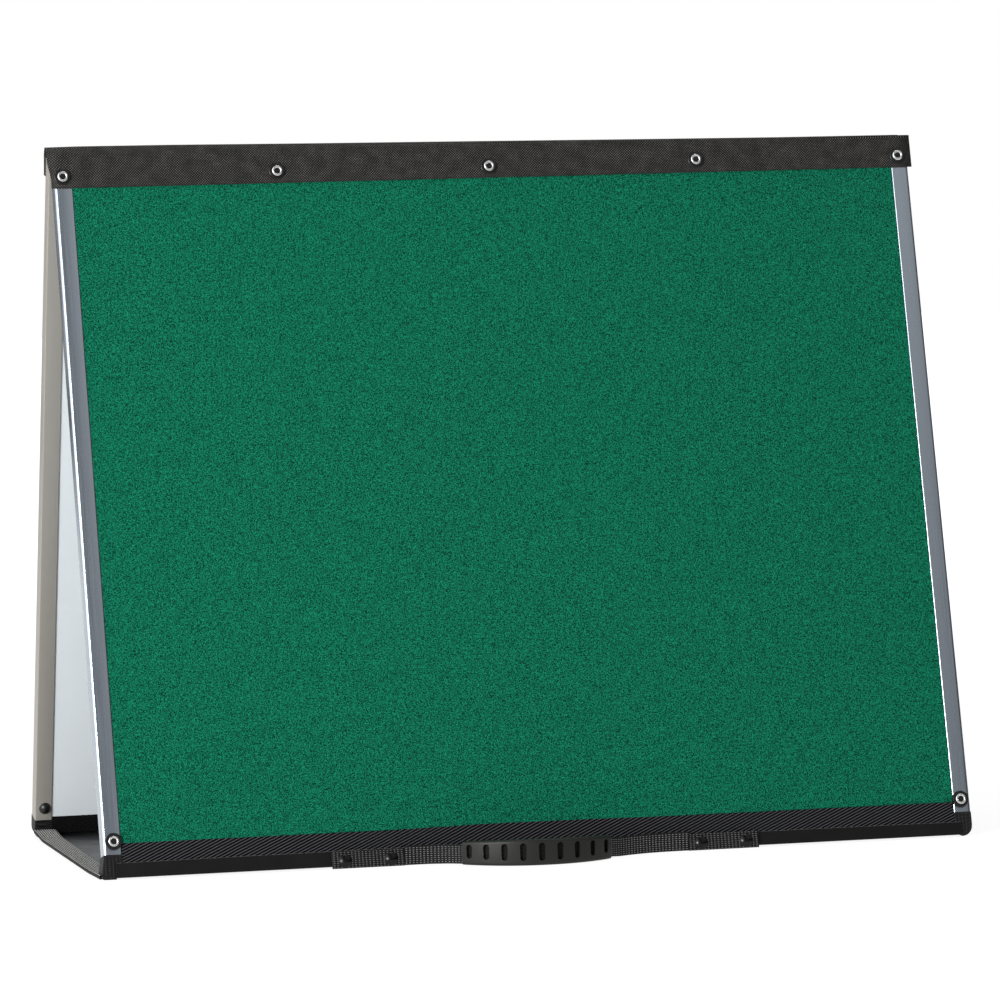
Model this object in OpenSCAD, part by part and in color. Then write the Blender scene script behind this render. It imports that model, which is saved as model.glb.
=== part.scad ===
// Folding desk easel: a felt panel and a magnetic whiteboard panel, joined at the top by a
// fabric spine and at the bottom by a limp vinyl sheet, with a webbing carry handle.
// The origin is on the table, in the middle of the vinyl sheet's underside. +Z is up, +X is
// along the boards, and the felt panel faces -Y. All sizes are in millimetres.

/* [Panels] */
// Width of each panel over its edge trims
panel_w = 610; // [560:1:700]
// Height of each board along its outer face
panel_h = 495.5; // [420:0.5:560]
// Lean of each panel from the vertical, in degrees
lean = 14.8; // [12:0.1:18]
// Thickness of the rigid core board
core_t = 9.6; // [8:0.1:12]
// Felt, where a trim or a tape presses it flat
felt_t = 1.5; // [1.2:0.1:2]
// How far the loose felt pile stands above the pressed felt
pile_t = 0.7; // [0.4:0.1:0.9]
// White sheet on the inside of each panel
liner_t = 0.9; // [0.6:0.1:1.2]
// Enamelled steel sheet on the outside of the rear panel
steel_t = 0.9; // [0.6:0.1:1.1]

/* [Edge trims] */
// Wall of the aluminium channel
trim_wall = 1; // [0.9:0.1:1.4]
// Width of each channel leg
trim_leg = 12; // [11:0.5:15]
// Width of the turned-in lip along the edge of each leg
trim_lip = 1.6; // [1:0.1:2.4]
// How far the lip falls towards the board
trim_lip_drop = 0.6; // [0.3:0.1:0.8]
// Front trim's lower end above the board's outer bottom edge
front_trim_lift = 13.6; // [10:0.1:16]
// Rear trim's lower end above the board's outer bottom edge
rear_trim_lift = 13; // [9:0.1:15]
// Running gap between a channel and the board
trim_fit = 0.1; // [0.05:0.05:0.3]

/* [Bottom edge] */
// Thickness of the twill tape that binds each board's bottom edge
twill_t = 1; // [0.8:0.1:1.4]
// Height of the twill on the outer face
twill_outer_h = 20.8; // [17:0.1:26]
// Height of the twill on the inner face
twill_inner_h = 15; // [10:0.5:18]
// Thickness of the vinyl sheet
vinyl_t = 1; // [0.8:0.1:1.4]
// Height of the vinyl where it turns up on the felt panel
kick_h = 7.4; // [6:0.1:11]
// Height of the vinyl where it turns up on the rear panel
rear_kick_h = 10; // [6:0.5:13]
// Distance from a panel's side to the end of the turned-up vinyl
kick_inset = 8; // [6:0.5:10]
// Side tape's width, on the sheet and round each corner
tape_w = 15; // [13:0.5:20]
// Thickness of the side tape and of the corner boots
tape_t = 1; // [0.8:0.1:1.4]
// Radius of each boot's lower outer corner
boot_round = 6; // [3:0.5:6]
// How far the sheet's left edge stands out past the felt panel
sheet_skew_front = 3; // [0:0.5:4]
// How far the sheet's left edge stands out past the rear panel
sheet_skew_rear = 0.5; // [0:0.5:4]

/* [Spine] */
// Thickness of the coated spine fabric
spine_t = 1; // [0.8:0.1:1.4]
// Height of the flap on the felt face
flap_front_h = 22; // [19:0.5:30]
// Height of the flap on the rear face
flap_rear_h = 20.5; // [19:0.5:30]
// How far the fabric stands out past each side of the panels
spine_overhang = 2.5; // [0.5:0.1:3]
// How far the whole spine sits to the right
spine_shift = 0; // [-1.2:0.1:1.2]
// Spine rivets on each panel
spine_rivet_count = 5; // [3:1:9]
// Spine rivet above the lower edge of its flap
spine_rivet_up = 9; // [7:0.5:10]

/* [Rivets] */
// Radius of every tubular rivet's shank
shank_r = 2.4; // [2:0.1:2.6]
// Radius of a tubular rivet's ring head
ring_r = 3.7; // [3.3:0.1:4]
// Radius of the recess in a tubular rivet's head
recess_r = 2; // [1.4:0.1:2.1]
// Depth of that recess below the washer
recess_d = 1.2; // [0.8:0.1:1.5]
// Length of a spine rivet's shank inside the board
spine_shank = 8; // [6:0.5:9]
// Radius of the washer under each ring head
washer_r = 5.9; // [5:0.1:6]
// Thickness of a spine washer
spine_washer_t = 0.8; // [0.6:0.1:1.2]
// Thickness of a corner washer
corner_washer_t = 2; // [1.2:0.1:2.4]
// Distance of the corner rivets from the panel's side
corner_rivet_in = 7; // [6.5:0.5:8]
// Corner rivet above the trim's lower end
corner_rivet_up = 8.8; // [7:0.1:12]
// Radius of the domed cap on the inside of a corner rivet
cap_r = 4.3; // [3.6:0.1:4.8]
// Height of that cap
cap_h = 3; // [2.4:0.1:3.4]
// Length of a corner shank inside its cap
cap_shank = 1.4; // [1:0.1:1.6]
// Radial clearance round a shank
shank_gap = 0.05; // [0.02:0.01:0.1]

/* [Handle] */
// Width of the handle's webbing
strap_w = 13; // [12:0.1:14]
// Thickness of one layer of webbing
strap_t = 1.3; // [1.1:0.1:1.6]
// Length of each doubled strap end
strap_end_len = 50; // [46:1:60]
// Clear distance between the two strap ends
strap_span = 200; // [190:1:240]
// Pitch of the two rivets in a strap end
strap_rivet_pitch = 32; // [26:1:34]
// Height of the strap rivets above the board's bottom, where they enter it
strap_rivet_up = 2.2; // [2.2:0.1:4]
// Height of the strap's middle above the board's outer bottom edge
strap_up = 2.4; // [2.4:0.1:5]
// Radius of a strap rivet's domed head
dome_r = 5; // [4:0.1:5.4]
// Height of that head
dome_h = 2.4; // [1.8:0.1:3]
// Length of a strap rivet's shank inside the board
strap_shank = 6; // [4:0.5:8]
// Radius of a strap rivet's shank
strap_shank_r = 1.5; // [1.2:0.1:1.6]
// Radius of the moulded grip's curve, to the middle of the webbing
grip_r = 70; // [66:1:76]
// Angle of the grip's left end from straight ahead, in degrees
grip_left_angle = 49; // [44:1:52]
// Angle of the grip's right end from straight ahead, in degrees
grip_right_angle = 40; // [36:1:46]
// Height of the grip
grip_h = 17.8; // [16.6:0.1:20]
// Thickness of the grip
grip_t = 6.6; // [6:0.1:8]
// Radius of the grip's rounded long edges
grip_round = 2; // [1.2:0.1:2.2]
// Distance of the grip's centre of curve behind the webbing's root
grip_back = 33.5; // [30:0.5:36]
// Distance of the grip's centre of curve from the middle, to the left
grip_off = 8; // [0:0.5:10]
// Clearance round the webbing inside the grip
grip_fit = 0.25; // [0.15:0.05:0.4]
// Slots in the grip's outer wall
slot_count = 9; // [5:2:9]
// Width of a slot
slot_w = 4.4; // [3:0.1:5.5]
// Height of the middle slot
slot_mid_h = 12.2; // [10:0.1:13]
// Height of the two end slots
slot_end_h = 9.4; // [8:0.1:12]
// Space between the last slot's middle and the end of the grip
slot_margin = 5.5; // [4:0.5:8]

/* [Fold] */
// Gap from each panel's inner tape to the hinge plane
hinge_gap = 0.2; // [0.15:0.05:0.5]
// Gap between pieces that move or that lie loosely together
loose_gap = 0.3; // [0.2:0.05:0.5]

/* [Hidden] */
$fn = 48;
cut = 1;

// Each panel is drawn upright in its own frame: x along the board, y from the pressed outer
// face (0) into the board, z up from the outer bottom edge. Its bottom is cut level with the
// table, so in this frame it rises with y.
slab_t = felt_t + core_t + liner_t;
half_w = panel_w / 2;
board_half = half_w - trim_wall - trim_fit;
channel_half = half_w - trim_leg;
trim_face = -trim_wall - trim_fit;
trim_back = slab_t + trim_wall + trim_fit;
inner_face = slab_t + max(twill_t, tape_t);
twill_half = half_w - tape_w - loose_gap;
kick_half = half_w - kick_inset;

// The boots at the four corners carry the panels: the sheet is turned up inside them.
boot_drop = 2 * tape_t + vinyl_t;
hinge_y = max(inner_face, trim_back) + hinge_gap;
hinge_z = panel_h + spine_t;
board_y = -(hinge_y * cos(lean) + hinge_z * sin(lean));
board_z = boot_drop;
foot_y = board_y + inner_face / cos(lean) - boot_drop * tan(lean);
sheet_y = foot_y + loose_gap;

spine_left = -half_w - spine_overhang + spine_shift;
spine_right = half_w + spine_overhang + spine_shift;
front_rivet_z = panel_h - flap_front_h + spine_rivet_up;
rear_rivet_z = panel_h - flap_rear_h + spine_rivet_up;
corner_rivet_x = half_w - corner_rivet_in;
front_corner_z = front_trim_lift + corner_rivet_up;
rear_corner_z = rear_trim_lift + corner_rivet_up;
spine_face = trim_face - spine_t;

strap_in = strap_span / 2;
strap_mid = strap_in + strap_end_len / 2;
kick_face = -tape_t - vinyl_t;
strap_face = kick_face - 2 * strap_t;
kick_low = level(kick_face, -kick_face);
root_y = board_y + kick_face * cos(lean) + kick_low * sin(lean) - strap_t / 2 - 2 * loose_gap;
grip_z = grip_h / 2;
grip_x = -grip_off;
grip_y = root_y + grip_back;
slot_sweep = grip_left_angle + grip_right_angle - 2 * slot_margin / grip_r * 180 / PI;
slot_first = -grip_left_angle + slot_margin / grip_r * 180 / PI;
loop_steps = 10;
arc_steps = 24;

// Height, in a panel's own frame, of a level line that lies some way below the board.
function level(y, below = 0) = y * tan(lean) - below / cos(lean);
function flap_xs() = [for (i = [0 : spine_rivet_count - 1])
    -corner_rivet_x + i * 2 * corner_rivet_x / (spine_rivet_count - 1)];
function strap_xs() = [for (side = [-1, 1], k = [-0.5, 0.5])
    side * strap_mid + k * strap_rivet_pitch];

// A point of the loop's middle line on one side, from the strap end to the grip's end.
function loop_side(side, s) =
    let (turn = side < 0 ? grip_left_angle : grip_right_angle,
         x0 = side * (strap_in - loose_gap),
         x1 = grip_x + side * grip_r * sin(turn),
         y0 = root_y,
         y1 = grip_y - grip_r * cos(turn),
         span = x1 - x0,
         slope = side * tan(turn),
         h1 = s * s * (3 - 2 * s),
         h3 = s * s * (s - 1))
    [x0 + span * s, y0 + (y1 - y0) * h1 + slope * span * h3];
// A point of the middle line inside the grip, at an angle from straight ahead.
function grip_point(turn) = [grip_x + grip_r * sin(turn), grip_y - grip_r * cos(turn)];
function loop_points() = concat(
    [for (i = [0 : loop_steps]) loop_side(-1, i / loop_steps)],
    [for (i = [1 : arc_steps - 1])
        grip_point(-grip_left_angle + i * (grip_left_angle + grip_right_angle) / arc_steps)],
    [for (i = [loop_steps : -1 : 0]) loop_side(1, i / loop_steps)]);
function unit(v) = v / norm(v);
function left_of(v) = [-v[1], v[0]];
function ribbon(points, half) =
    let (n = len(points) - 1,
         dirs = [for (i = [0 : n]) unit(points[min(i + 1, n)] - points[max(i - 1, 0)])])
    concat([for (i = [0 : n]) points[i] + half * left_of(dirs[i])],
           [for (i = [n : -1 : 0]) points[i] - half * left_of(dirs[i])]);

// Where the two panels stand.
module on_front() {
    translate([0, board_y, board_z]) rotate([-lean, 0, 0]) children();
}

module on_rear() {
    mirror([0, 1, 0]) on_front() children();
}

// A block between two corners.
module block(low, high) {
    translate(low) cube(high - low);
}

// Holes and shanks run along y, into the board.
module into_board(x, y, z) {
    translate([x, y, z]) rotate([-90, 0, 0]) children();
}

module shank_holes(xs, z, radius, from_y, to_y) {
    for (x = xs)
        into_board(x, from_y, z) cylinder(r = radius + shank_gap, h = to_y - from_y);
}

module corner_holes(z) {
    shank_holes([-corner_rivet_x, corner_rivet_x], z, shank_r, spine_face - cut,
                trim_back + cut);
}

module spine_holes(z) {
    shank_holes(flap_xs(), z, shank_r, spine_face - cut, felt_t + spine_shank);
}

// The strap rivets run level with the table, so that they stay inside the core.
module level_in(x) {
    translate([x, 0, strap_rivet_up]) rotate([lean - 90, 0, 0]) children();
}

module strap_holes() {
    for (x = strap_xs())
        level_in(x) translate([0, 0, strap_face - dome_h])
            cylinder(r = strap_shank_r + shank_gap, h = strap_shank + felt_t + dome_h - strap_face);
}

// A sheet or board of the slab between two depths.
module slab_layer(from_y, to_y) {
    along_x(-board_half, board_half)
        polygon([[from_y, level(from_y)], [to_y, level(to_y)], [to_y, panel_h],
                 [from_y, panel_h]]);
}

// Aluminium channel over one side edge of a board. Its legs end in a turned-in lip.
module trim_section() {
    reach = trim_leg - trim_wall;
    difference() {
        translate([0, trim_face]) square([trim_leg, trim_back - trim_face]);
        translate([trim_wall, -trim_fit]) square([reach + cut, slab_t + 2 * trim_fit]);
        polygon([[trim_leg - trim_lip, trim_face], [trim_leg, trim_face + trim_lip_drop],
                 [trim_leg + cut, trim_face], [trim_leg, trim_face - cut]]);
        polygon([[trim_leg - trim_lip, trim_back], [trim_leg, trim_back - trim_lip_drop],
                 [trim_leg + cut, trim_back], [trim_leg, trim_back + cut]]);
    }
}

module trim(side, lift) {
    translate([side * half_w, 0, lift])
        mirror([side > 0 ? 1 : 0, 0, 0])
            linear_extrude(height = panel_h - lift) trim_section();
}

// Profile of a tape or sheet that wraps the bottom edge at a distance from the board, up to
// a height on the outer face and a height on the inner face.
module wrap_profile(gap, thick, outer_h, inner_h) {
    out = gap + thick;
    far = slab_t + out;
    polygon([[-gap, outer_h], [-out, outer_h], [-out, level(-out, out)],
             [far, level(far, out)], [far, inner_h], [slab_t + gap, inner_h],
             [slab_t + gap, level(slab_t + gap, gap)], [-gap, level(-gap, gap)]]);
}

// Runs a profile of the y-z plane along x.
module along_x(from_x, to_x) {
    translate([from_x, 0, 0]) rotate([90, 0, 90]) linear_extrude(height = to_x - from_x)
        children();
}

module binding(outer_h) {
    along_x(-twill_half, twill_half) wrap_profile(0, twill_t, outer_h, twill_inner_h);
}

module turned_sheet(outer_h) {
    out = tape_t + vinyl_t;
    along_x(-kick_half, kick_half)
        polygon([[-tape_t, outer_h], [-out, outer_h], [-out, level(-out, out)],
                 [slab_t, level(slab_t, out)], [slab_t, level(slab_t, tape_t)],
                 [-tape_t, level(-tape_t, tape_t)]]);
}

// Webbing folded round a board's corner, under the end of the trim.
module boot(side, lift) {
    top = lift - loose_gap;
    mirror([side > 0 ? 1 : 0, 0, 0]) {
        along_x(-half_w, -half_w + tape_w) wrap_profile(0, tape_t, top, top);
        along_x(-half_w, -kick_half - loose_gap)
            polygon([[-tape_t, level(-tape_t, tape_t)],
                     [-tape_t, level(-tape_t, boot_drop)],
                     [inner_face, level(inner_face, boot_drop)],
                     [inner_face, level(inner_face, tape_t)]]);
        along_x(-half_w, -board_half - trim_fit)
            polygon([[-tape_t, level(-tape_t, tape_t)], [inner_face, level(inner_face, tape_t)],
                     [inner_face, top], [-tape_t, top]]);
    }
}

// Room inside the boots' rounded lower corners, seen from the front.
module boot_room() {
    translate([0, panel_h, 0]) rotate([90, 0, 0]) linear_extrude(height = 2 * panel_h) {
        translate([-half_w, boot_round]) square([panel_w, panel_h]);
        translate([-half_w + boot_round, 0]) square([panel_w - 2 * boot_round, panel_h]);
        for (side = [-1, 1])
            translate([side * (half_w - boot_round), boot_round]) circle(r = boot_round);
    }
}

module standing_boot(side, lift) {
    intersection() {
        on_front() boot(side, lift);
        boot_room();
    }
}

// Coated fabric over a panel's top edge, up to the hinge line.
module spine_half(flap_h) {
    fabric_end = hinge_y - hinge_gap;
    along_x(spine_left, spine_right) {
        translate([spine_face, panel_h - flap_h]) square([spine_t, flap_h]);
        translate([trim_face, panel_h]) square([fabric_end - trim_face, spine_t]);
        intersection() {
            translate([trim_face, panel_h]) circle(r = spine_t);
            translate([spine_face, panel_h]) square(spine_t);
        }
    }
}

// Rivets. A tubular rivet has a rounded ring head round a recess.
module tubular_rivet(grip) {
    ring_mid = (ring_r + recess_r) / 2;
    difference() {
        union() {
            translate([0, 0, -grip]) cylinder(r = shank_r, h = grip);
            rotate_extrude() intersection() {
                translate([ring_mid, 0]) circle(r = ring_r - ring_mid);
                square([ring_r, ring_r]);
            }
        }
        translate([0, 0, -recess_d]) cylinder(r = recess_r, h = recess_d + cut);
    }
}

module washer(thick) {
    difference() {
        cylinder(r = washer_r, h = thick);
        translate([0, 0, -cut]) cylinder(r = shank_r + shank_gap, h = thick + 2 * cut);
    }
}

// A ball's cap of the given rim radius and height.
module dome(rim, high) {
    ball = (rim * rim + high * high) / (2 * high);
    intersection() {
        translate([0, 0, high - ball]) sphere(r = ball, $fn = 64);
        cylinder(r = rim, h = high + cut);
    }
}

module outwards(x, y, z) {
    translate([x, y, z]) rotate([90, 0, 0]) children();
}

module spine_rivets(z) {
    for (x = flap_xs())
        outwards(x, spine_face - spine_washer_t, z)
            tubular_rivet(felt_t + spine_shank - spine_face + spine_washer_t - shank_gap);
}

module spine_washers(z) {
    for (x = flap_xs())
        outwards(x, spine_face, z) washer(spine_washer_t);
}

module corner_rivets(z) {
    for (side = [-1, 1])
        outwards(side * corner_rivet_x, trim_face - corner_washer_t, z)
            tubular_rivet(trim_back - trim_face + corner_washer_t + cap_shank);
}

module corner_washers(z) {
    for (side = [-1, 1])
        outwards(side * corner_rivet_x, trim_face, z) washer(corner_washer_t);
}

module corner_caps(z) {
    for (side = [-1, 1])
        into_board(side * corner_rivet_x, trim_back, z)
            difference() {
                dome(cap_r, cap_h);
                translate([0, 0, -cut])
                    cylinder(r = shank_r + shank_gap, h = cut + cap_shank + shank_gap);
            }
}

// The vinyl sheet's edges, narrower or wider by some inset from each side.
function edge_x(side, inset, y) =
    let (reach = -sheet_y, t = (y + reach) / (2 * reach),
         skew = sheet_skew_front + (sheet_skew_rear - sheet_skew_front) * t)
    side * (half_w - inset) - skew;
function sheet_outline(inset) = [
    [edge_x(-1, inset, sheet_y), sheet_y], [edge_x(1, inset, sheet_y), sheet_y],
    [edge_x(1, inset, -sheet_y), -sheet_y], [edge_x(-1, inset, -sheet_y), -sheet_y]];
function tape_outline(side, out, in) = [
    [edge_x(side, out, sheet_y), sheet_y], [edge_x(side, in, sheet_y), sheet_y],
    [edge_x(side, in, -sheet_y), -sheet_y], [edge_x(side, out, -sheet_y), -sheet_y]];

module layer(z, thick) {
    translate([0, 0, z]) linear_extrude(height = thick) children();
}

// Trims the ends of what lies between the panels along the leaning inner faces of the boots.
module between_boots() {
    difference() {
        children();
        for (back = [0, 1]) mirror([0, back, 0]) on_front()
            block([-half_w - tape_w, -slab_t, -slab_t], [half_w + tape_w, inner_face, slab_t]);
    }
}

// The limp sheet lies on the table between the two side tapes and rises into them.
module sheet() {
    layer(0, vinyl_t) polygon(sheet_outline(tape_w + loose_gap));
    for (side = [-1, 1]) {
        layer(tape_t, vinyl_t)
            polygon(tape_outline(side, tape_t, tape_w + loose_gap + vinyl_t));
        layer(0, tape_t + vinyl_t)
            polygon(tape_outline(side, tape_w + loose_gap, tape_w + loose_gap + vinyl_t));
    }
}

// Webbing folded over a side edge of the sheet.
module side_tape(side) {
    layer(0, tape_t) polygon(tape_outline(side, 0, tape_w));
    layer(tape_t + vinyl_t, tape_t) polygon(tape_outline(side, 0, tape_w));
    layer(0, boot_drop) polygon(tape_outline(side, 0, tape_t));
}

// Handle: doubled strap ends, the webbing loop and the moulded grip.
module strap_end(side) {
    long = strap_end_len / 2;
    difference() {
        union() {
            block([side * strap_mid - long, strap_face, strap_up - strap_w / 2],
                  [side * strap_mid + long - strap_t, kick_face, strap_up + strap_w / 2]);
            translate([side * strap_mid + long - strap_t, kick_face - strap_t,
                       strap_up - strap_w / 2])
                cylinder(r = strap_t, h = strap_w);
        }
        strap_holes();
    }
}

module grip_section(high, thick, round) {
    translate([grip_r - thick / 2 + round, -high / 2]) square([thick - 2 * round, high]);
    translate([grip_r - thick / 2, -high / 2 + round]) square([thick, high - 2 * round]);
    for (a = [-1, 1], b = [-1, 1])
        translate([grip_r + a * (thick / 2 - round), b * (high / 2 - round)])
            circle(r = round);
}

module grip_sweep(from, to) {
    translate([grip_x, grip_y, grip_z]) rotate([0, 0, from - 90])
        rotate_extrude(angle = to - from, $fn = 96) children();
}

module slot(turn, high) {
    depth = grip_t / 2 - strap_t / 2 - grip_fit;
    round = slot_w / 2;
    translate([grip_x, grip_y, grip_z]) rotate([0, 0, turn - 90])
        translate([grip_r + grip_t / 2 - depth - grip_fit, 0, 0])
            rotate([90, 0, 90]) linear_extrude(height = depth + grip_fit + cut) {
                square([slot_w, high - slot_w], center = true);
                for (b = [-1, 1])
                    translate([0, b * (high / 2 - round)]) circle(r = round);
            }
}

module grip() {
    difference() {
        grip_sweep(-grip_left_angle, grip_right_angle) grip_section(grip_h, grip_t, grip_round);
        grip_sweep(-grip_left_angle - 1, grip_right_angle + 1)
            translate([grip_r - strap_t / 2 - grip_fit, -strap_w / 2 - grip_fit])
                square([strap_t + 2 * grip_fit, strap_w + 2 * grip_fit]);
        for (i = [0 : slot_count - 1]) {
            t = i / (slot_count - 1);
            slot(slot_first + t * slot_sweep,
                 slot_end_h + (slot_mid_h - slot_end_h) * sin(180 * t));
        }
    }
}

module loop() {
    translate([0, 0, grip_z - strap_w / 2]) linear_extrude(height = strap_w)
        polygon(ribbon(loop_points(), strap_t / 2));
}

// One module for each separate piece.
module front_core() {
    color("burlywood") on_front() difference() {
        slab_layer(felt_t, felt_t + core_t);
        spine_holes(front_rivet_z);
        corner_holes(front_corner_z);
        strap_holes();
    }
}

module front_felt() {
    color("seagreen") on_front() difference() {
        union() {
            slab_layer(0, felt_t);
            block([-channel_half + loose_gap, -pile_t, twill_outer_h + loose_gap],
                  [channel_half - loose_gap, 0, panel_h]);
        }
        spine_holes(front_rivet_z);
        corner_holes(front_corner_z);
        strap_holes();
    }
}

module front_liner() {
    color("whitesmoke") on_front() difference() {
        slab_layer(slab_t - liner_t, slab_t);
        corner_holes(front_corner_z);
    }
}

module front_trim(side) {
    color("silver") on_front() difference() {
        trim(side, front_trim_lift);
        spine_holes(front_rivet_z);
        corner_holes(front_corner_z);
    }
}

module front_trim_left() { front_trim(-1); }

module front_trim_right() { front_trim(1); }

module front_binding() {
    color("dimgray") on_front() difference() {
        binding(twill_outer_h);
        strap_holes();
    }
}

module kick_strip() {
    color("black") on_front() difference() {
        turned_sheet(kick_h);
        strap_holes();
    }
}

module spine_front() {
    color("darkslategray") on_front() difference() {
        spine_half(flap_front_h);
        spine_holes(front_rivet_z);
    }
}

module spine_rivets_front() { color("lightgray") on_front() spine_rivets(front_rivet_z); }

module spine_washers_front() { color("black") on_front() spine_washers(front_rivet_z); }

module corner_rivets_front() { color("lightgray") on_front() corner_rivets(front_corner_z); }

module corner_washers_front() { color("black") on_front() corner_washers(front_corner_z); }

module corner_caps_front() { color("black") on_front() corner_caps(front_corner_z); }

module corner_boot_front_left() { color("dimgray") standing_boot(-1, front_trim_lift); }

module corner_boot_front_right() { color("dimgray") standing_boot(1, front_trim_lift); }

module handle_strap_left() { color("dimgray") on_front() strap_end(-1); }

module handle_strap_right() { color("dimgray") on_front() strap_end(1); }

module handle_rivets() {
    head_z = strap_rivet_up + strap_face * tan(lean);
    color("black") on_front()
        for (x = strap_xs()) {
            outwards(x, strap_face, head_z) dome(dome_r, dome_h);
            level_in(x) translate([0, 0, strap_face - 1])
                cylinder(r = strap_shank_r, h = strap_shank + felt_t + 1 - strap_face - shank_gap);
        }
}

module base_sheet() { color("black") between_boots() sheet(); }

module base_tape_left() { color("gray") between_boots() side_tape(-1); }

module base_tape_right() { color("gray") between_boots() side_tape(1); }

module rear_core() {
    color("burlywood") on_rear() difference() {
        slab_layer(steel_t, slab_t - liner_t);
        spine_holes(rear_rivet_z);
        corner_holes(rear_corner_z);
    }
}

module rear_steel_sheet() {
    color("white") on_rear() difference() {
        slab_layer(0, steel_t);
        spine_holes(rear_rivet_z);
        corner_holes(rear_corner_z);
    }
}

module rear_liner() {
    color("whitesmoke") on_rear() difference() {
        slab_layer(slab_t - liner_t, slab_t);
        corner_holes(rear_corner_z);
    }
}

module rear_trim(side) {
    color("silver") on_rear() difference() {
        trim(side, rear_trim_lift);
        spine_holes(rear_rivet_z);
        corner_holes(rear_corner_z);
    }
}

module rear_trim_left() { rear_trim(-1); }

module rear_trim_right() { rear_trim(1); }

module rear_binding() { color("dimgray") on_rear() binding(twill_outer_h); }

module rear_kick_strip() { color("black") on_rear() turned_sheet(rear_kick_h); }

module spine_rear() {
    color("darkslategray") on_rear() difference() {
        spine_half(flap_rear_h);
        spine_holes(rear_rivet_z);
    }
}

module spine_rivets_rear() { color("lightgray") on_rear() spine_rivets(rear_rivet_z); }

module spine_washers_rear() { color("black") on_rear() spine_washers(rear_rivet_z); }

module corner_rivets_rear() { color("lightgray") on_rear() corner_rivets(rear_corner_z); }

module corner_washers_rear() { color("black") on_rear() corner_washers(rear_corner_z); }

module corner_caps_rear() { color("black") on_rear() corner_caps(rear_corner_z); }

module corner_boot_rear_left() { color("dimgray") mirror([0, 1, 0]) standing_boot(-1, rear_trim_lift); }

module corner_boot_rear_right() { color("dimgray") mirror([0, 1, 0]) standing_boot(1, rear_trim_lift); }

module handle_webbing() { color("dimgray") loop(); }

module handle_grip() { color("black") grip(); }

front_core();
front_felt();
front_liner();
front_trim_left();
front_trim_right();
front_binding();
kick_strip();
spine_front();
spine_rivets_front();
spine_washers_front();
corner_rivets_front();
corner_washers_front();
corner_caps_front();
corner_boot_front_left();
corner_boot_front_right();
handle_strap_left();
handle_strap_right();
handle_rivets();
base_sheet();
base_tape_left();
base_tape_right();
rear_core();
rear_steel_sheet();
rear_liner();
rear_trim_left();
rear_trim_right();
rear_binding();
rear_kick_strip();
spine_rear();
spine_rivets_rear();
spine_washers_rear();
corner_rivets_rear();
corner_washers_rear();
corner_caps_rear();
corner_boot_rear_left();
corner_boot_rear_right();
handle_webbing();
handle_grip();
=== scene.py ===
"""Folding desk easel: felt panel, magnetic whiteboard, fabric spine, base sheet and handle."""

import logging
import math
from dataclasses import dataclass, field
from enum import Enum
from typing import Callable, Sequence

import bmesh
import bpy
from mathutils import Matrix, Vector

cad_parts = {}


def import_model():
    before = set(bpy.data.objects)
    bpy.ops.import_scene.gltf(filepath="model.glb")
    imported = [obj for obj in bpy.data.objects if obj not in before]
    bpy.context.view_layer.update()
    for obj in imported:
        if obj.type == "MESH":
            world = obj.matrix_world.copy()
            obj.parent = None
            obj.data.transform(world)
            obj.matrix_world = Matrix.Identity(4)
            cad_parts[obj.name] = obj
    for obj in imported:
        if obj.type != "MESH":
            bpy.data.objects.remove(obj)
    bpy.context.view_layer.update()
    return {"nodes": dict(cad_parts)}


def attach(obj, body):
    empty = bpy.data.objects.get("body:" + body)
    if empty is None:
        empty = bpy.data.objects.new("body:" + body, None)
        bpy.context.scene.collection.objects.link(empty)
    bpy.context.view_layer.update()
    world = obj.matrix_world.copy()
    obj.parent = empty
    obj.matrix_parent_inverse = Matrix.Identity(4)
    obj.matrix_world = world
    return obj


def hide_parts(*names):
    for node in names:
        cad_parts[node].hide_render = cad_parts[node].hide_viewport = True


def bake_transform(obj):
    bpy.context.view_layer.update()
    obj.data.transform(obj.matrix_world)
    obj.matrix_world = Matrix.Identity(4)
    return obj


log = logging.getLogger("easel")
MM = 0.001


# Small helpers


def linear(code: str) -> tuple[float, float, float, float]:
    """Turns an sRGB hex colour into linear light.

    Args:
        code: Six hex digits, such as "14624a".

    Returns:
        Red, green, blue and an alpha of 1.
    """
    parts = [int(code[i : i + 2], 16) / 255 for i in (0, 2, 4)]
    low = [c / 12.92 if c <= 0.04045 else ((c + 0.055) / 1.055) ** 2.4 for c in parts]
    return (low[0], low[1], low[2], 1.0)


def add_node(tree: bpy.types.NodeTree, kind: str, settings: dict | None = None,
             **links: object) -> bpy.types.Node:
    """Adds one node, sets its options, and fills or links its inputs.

    Args:
        tree: The node tree that gets the node.
        kind: The node's type name.
        settings: Node properties by name.
        **links: Inputs by name, with spaces as underscores. A socket is linked, anything
            else is set. A name such as i2 means the input with that number.

    Returns:
        The new node.
    """
    node = tree.nodes.new(kind)
    for key, value in (settings or {}).items():
        setattr(node, key, value)
    for key, value in links.items():
        if key[0] == "i" and key[1:].isdigit():
            socket = node.inputs[int(key[1:])]
        else:
            socket = node.inputs[key.replace("_", " ")]
        if isinstance(value, bpy.types.NodeSocket):
            tree.links.new(value, socket)
        else:
            socket.default_value = value
    return node


def smoothstep(t: float) -> float:
    """Returns t eased at both ends, for t from 0 to 1."""
    t = min(max(t, 0.0), 1.0)
    return t * t * (3 - 2 * t)


def table_value(table: Sequence[tuple[float, float]], x: float) -> float:
    """Reads a table, with straight lines between its rows.

    Args:
        table: Rows of a rising x and its value.
        x: Where to read. Past its ends the table keeps its end values.

    Returns:
        The value at x.
    """
    if x <= table[0][0]:
        return table[0][1]
    for (x0, y0), (x1, y1) in zip(table, table[1:]):
        if x <= x1:
            return y0 + (y1 - y0) * (x - x0) / (x1 - x0)
    return table[-1][1]


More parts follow.
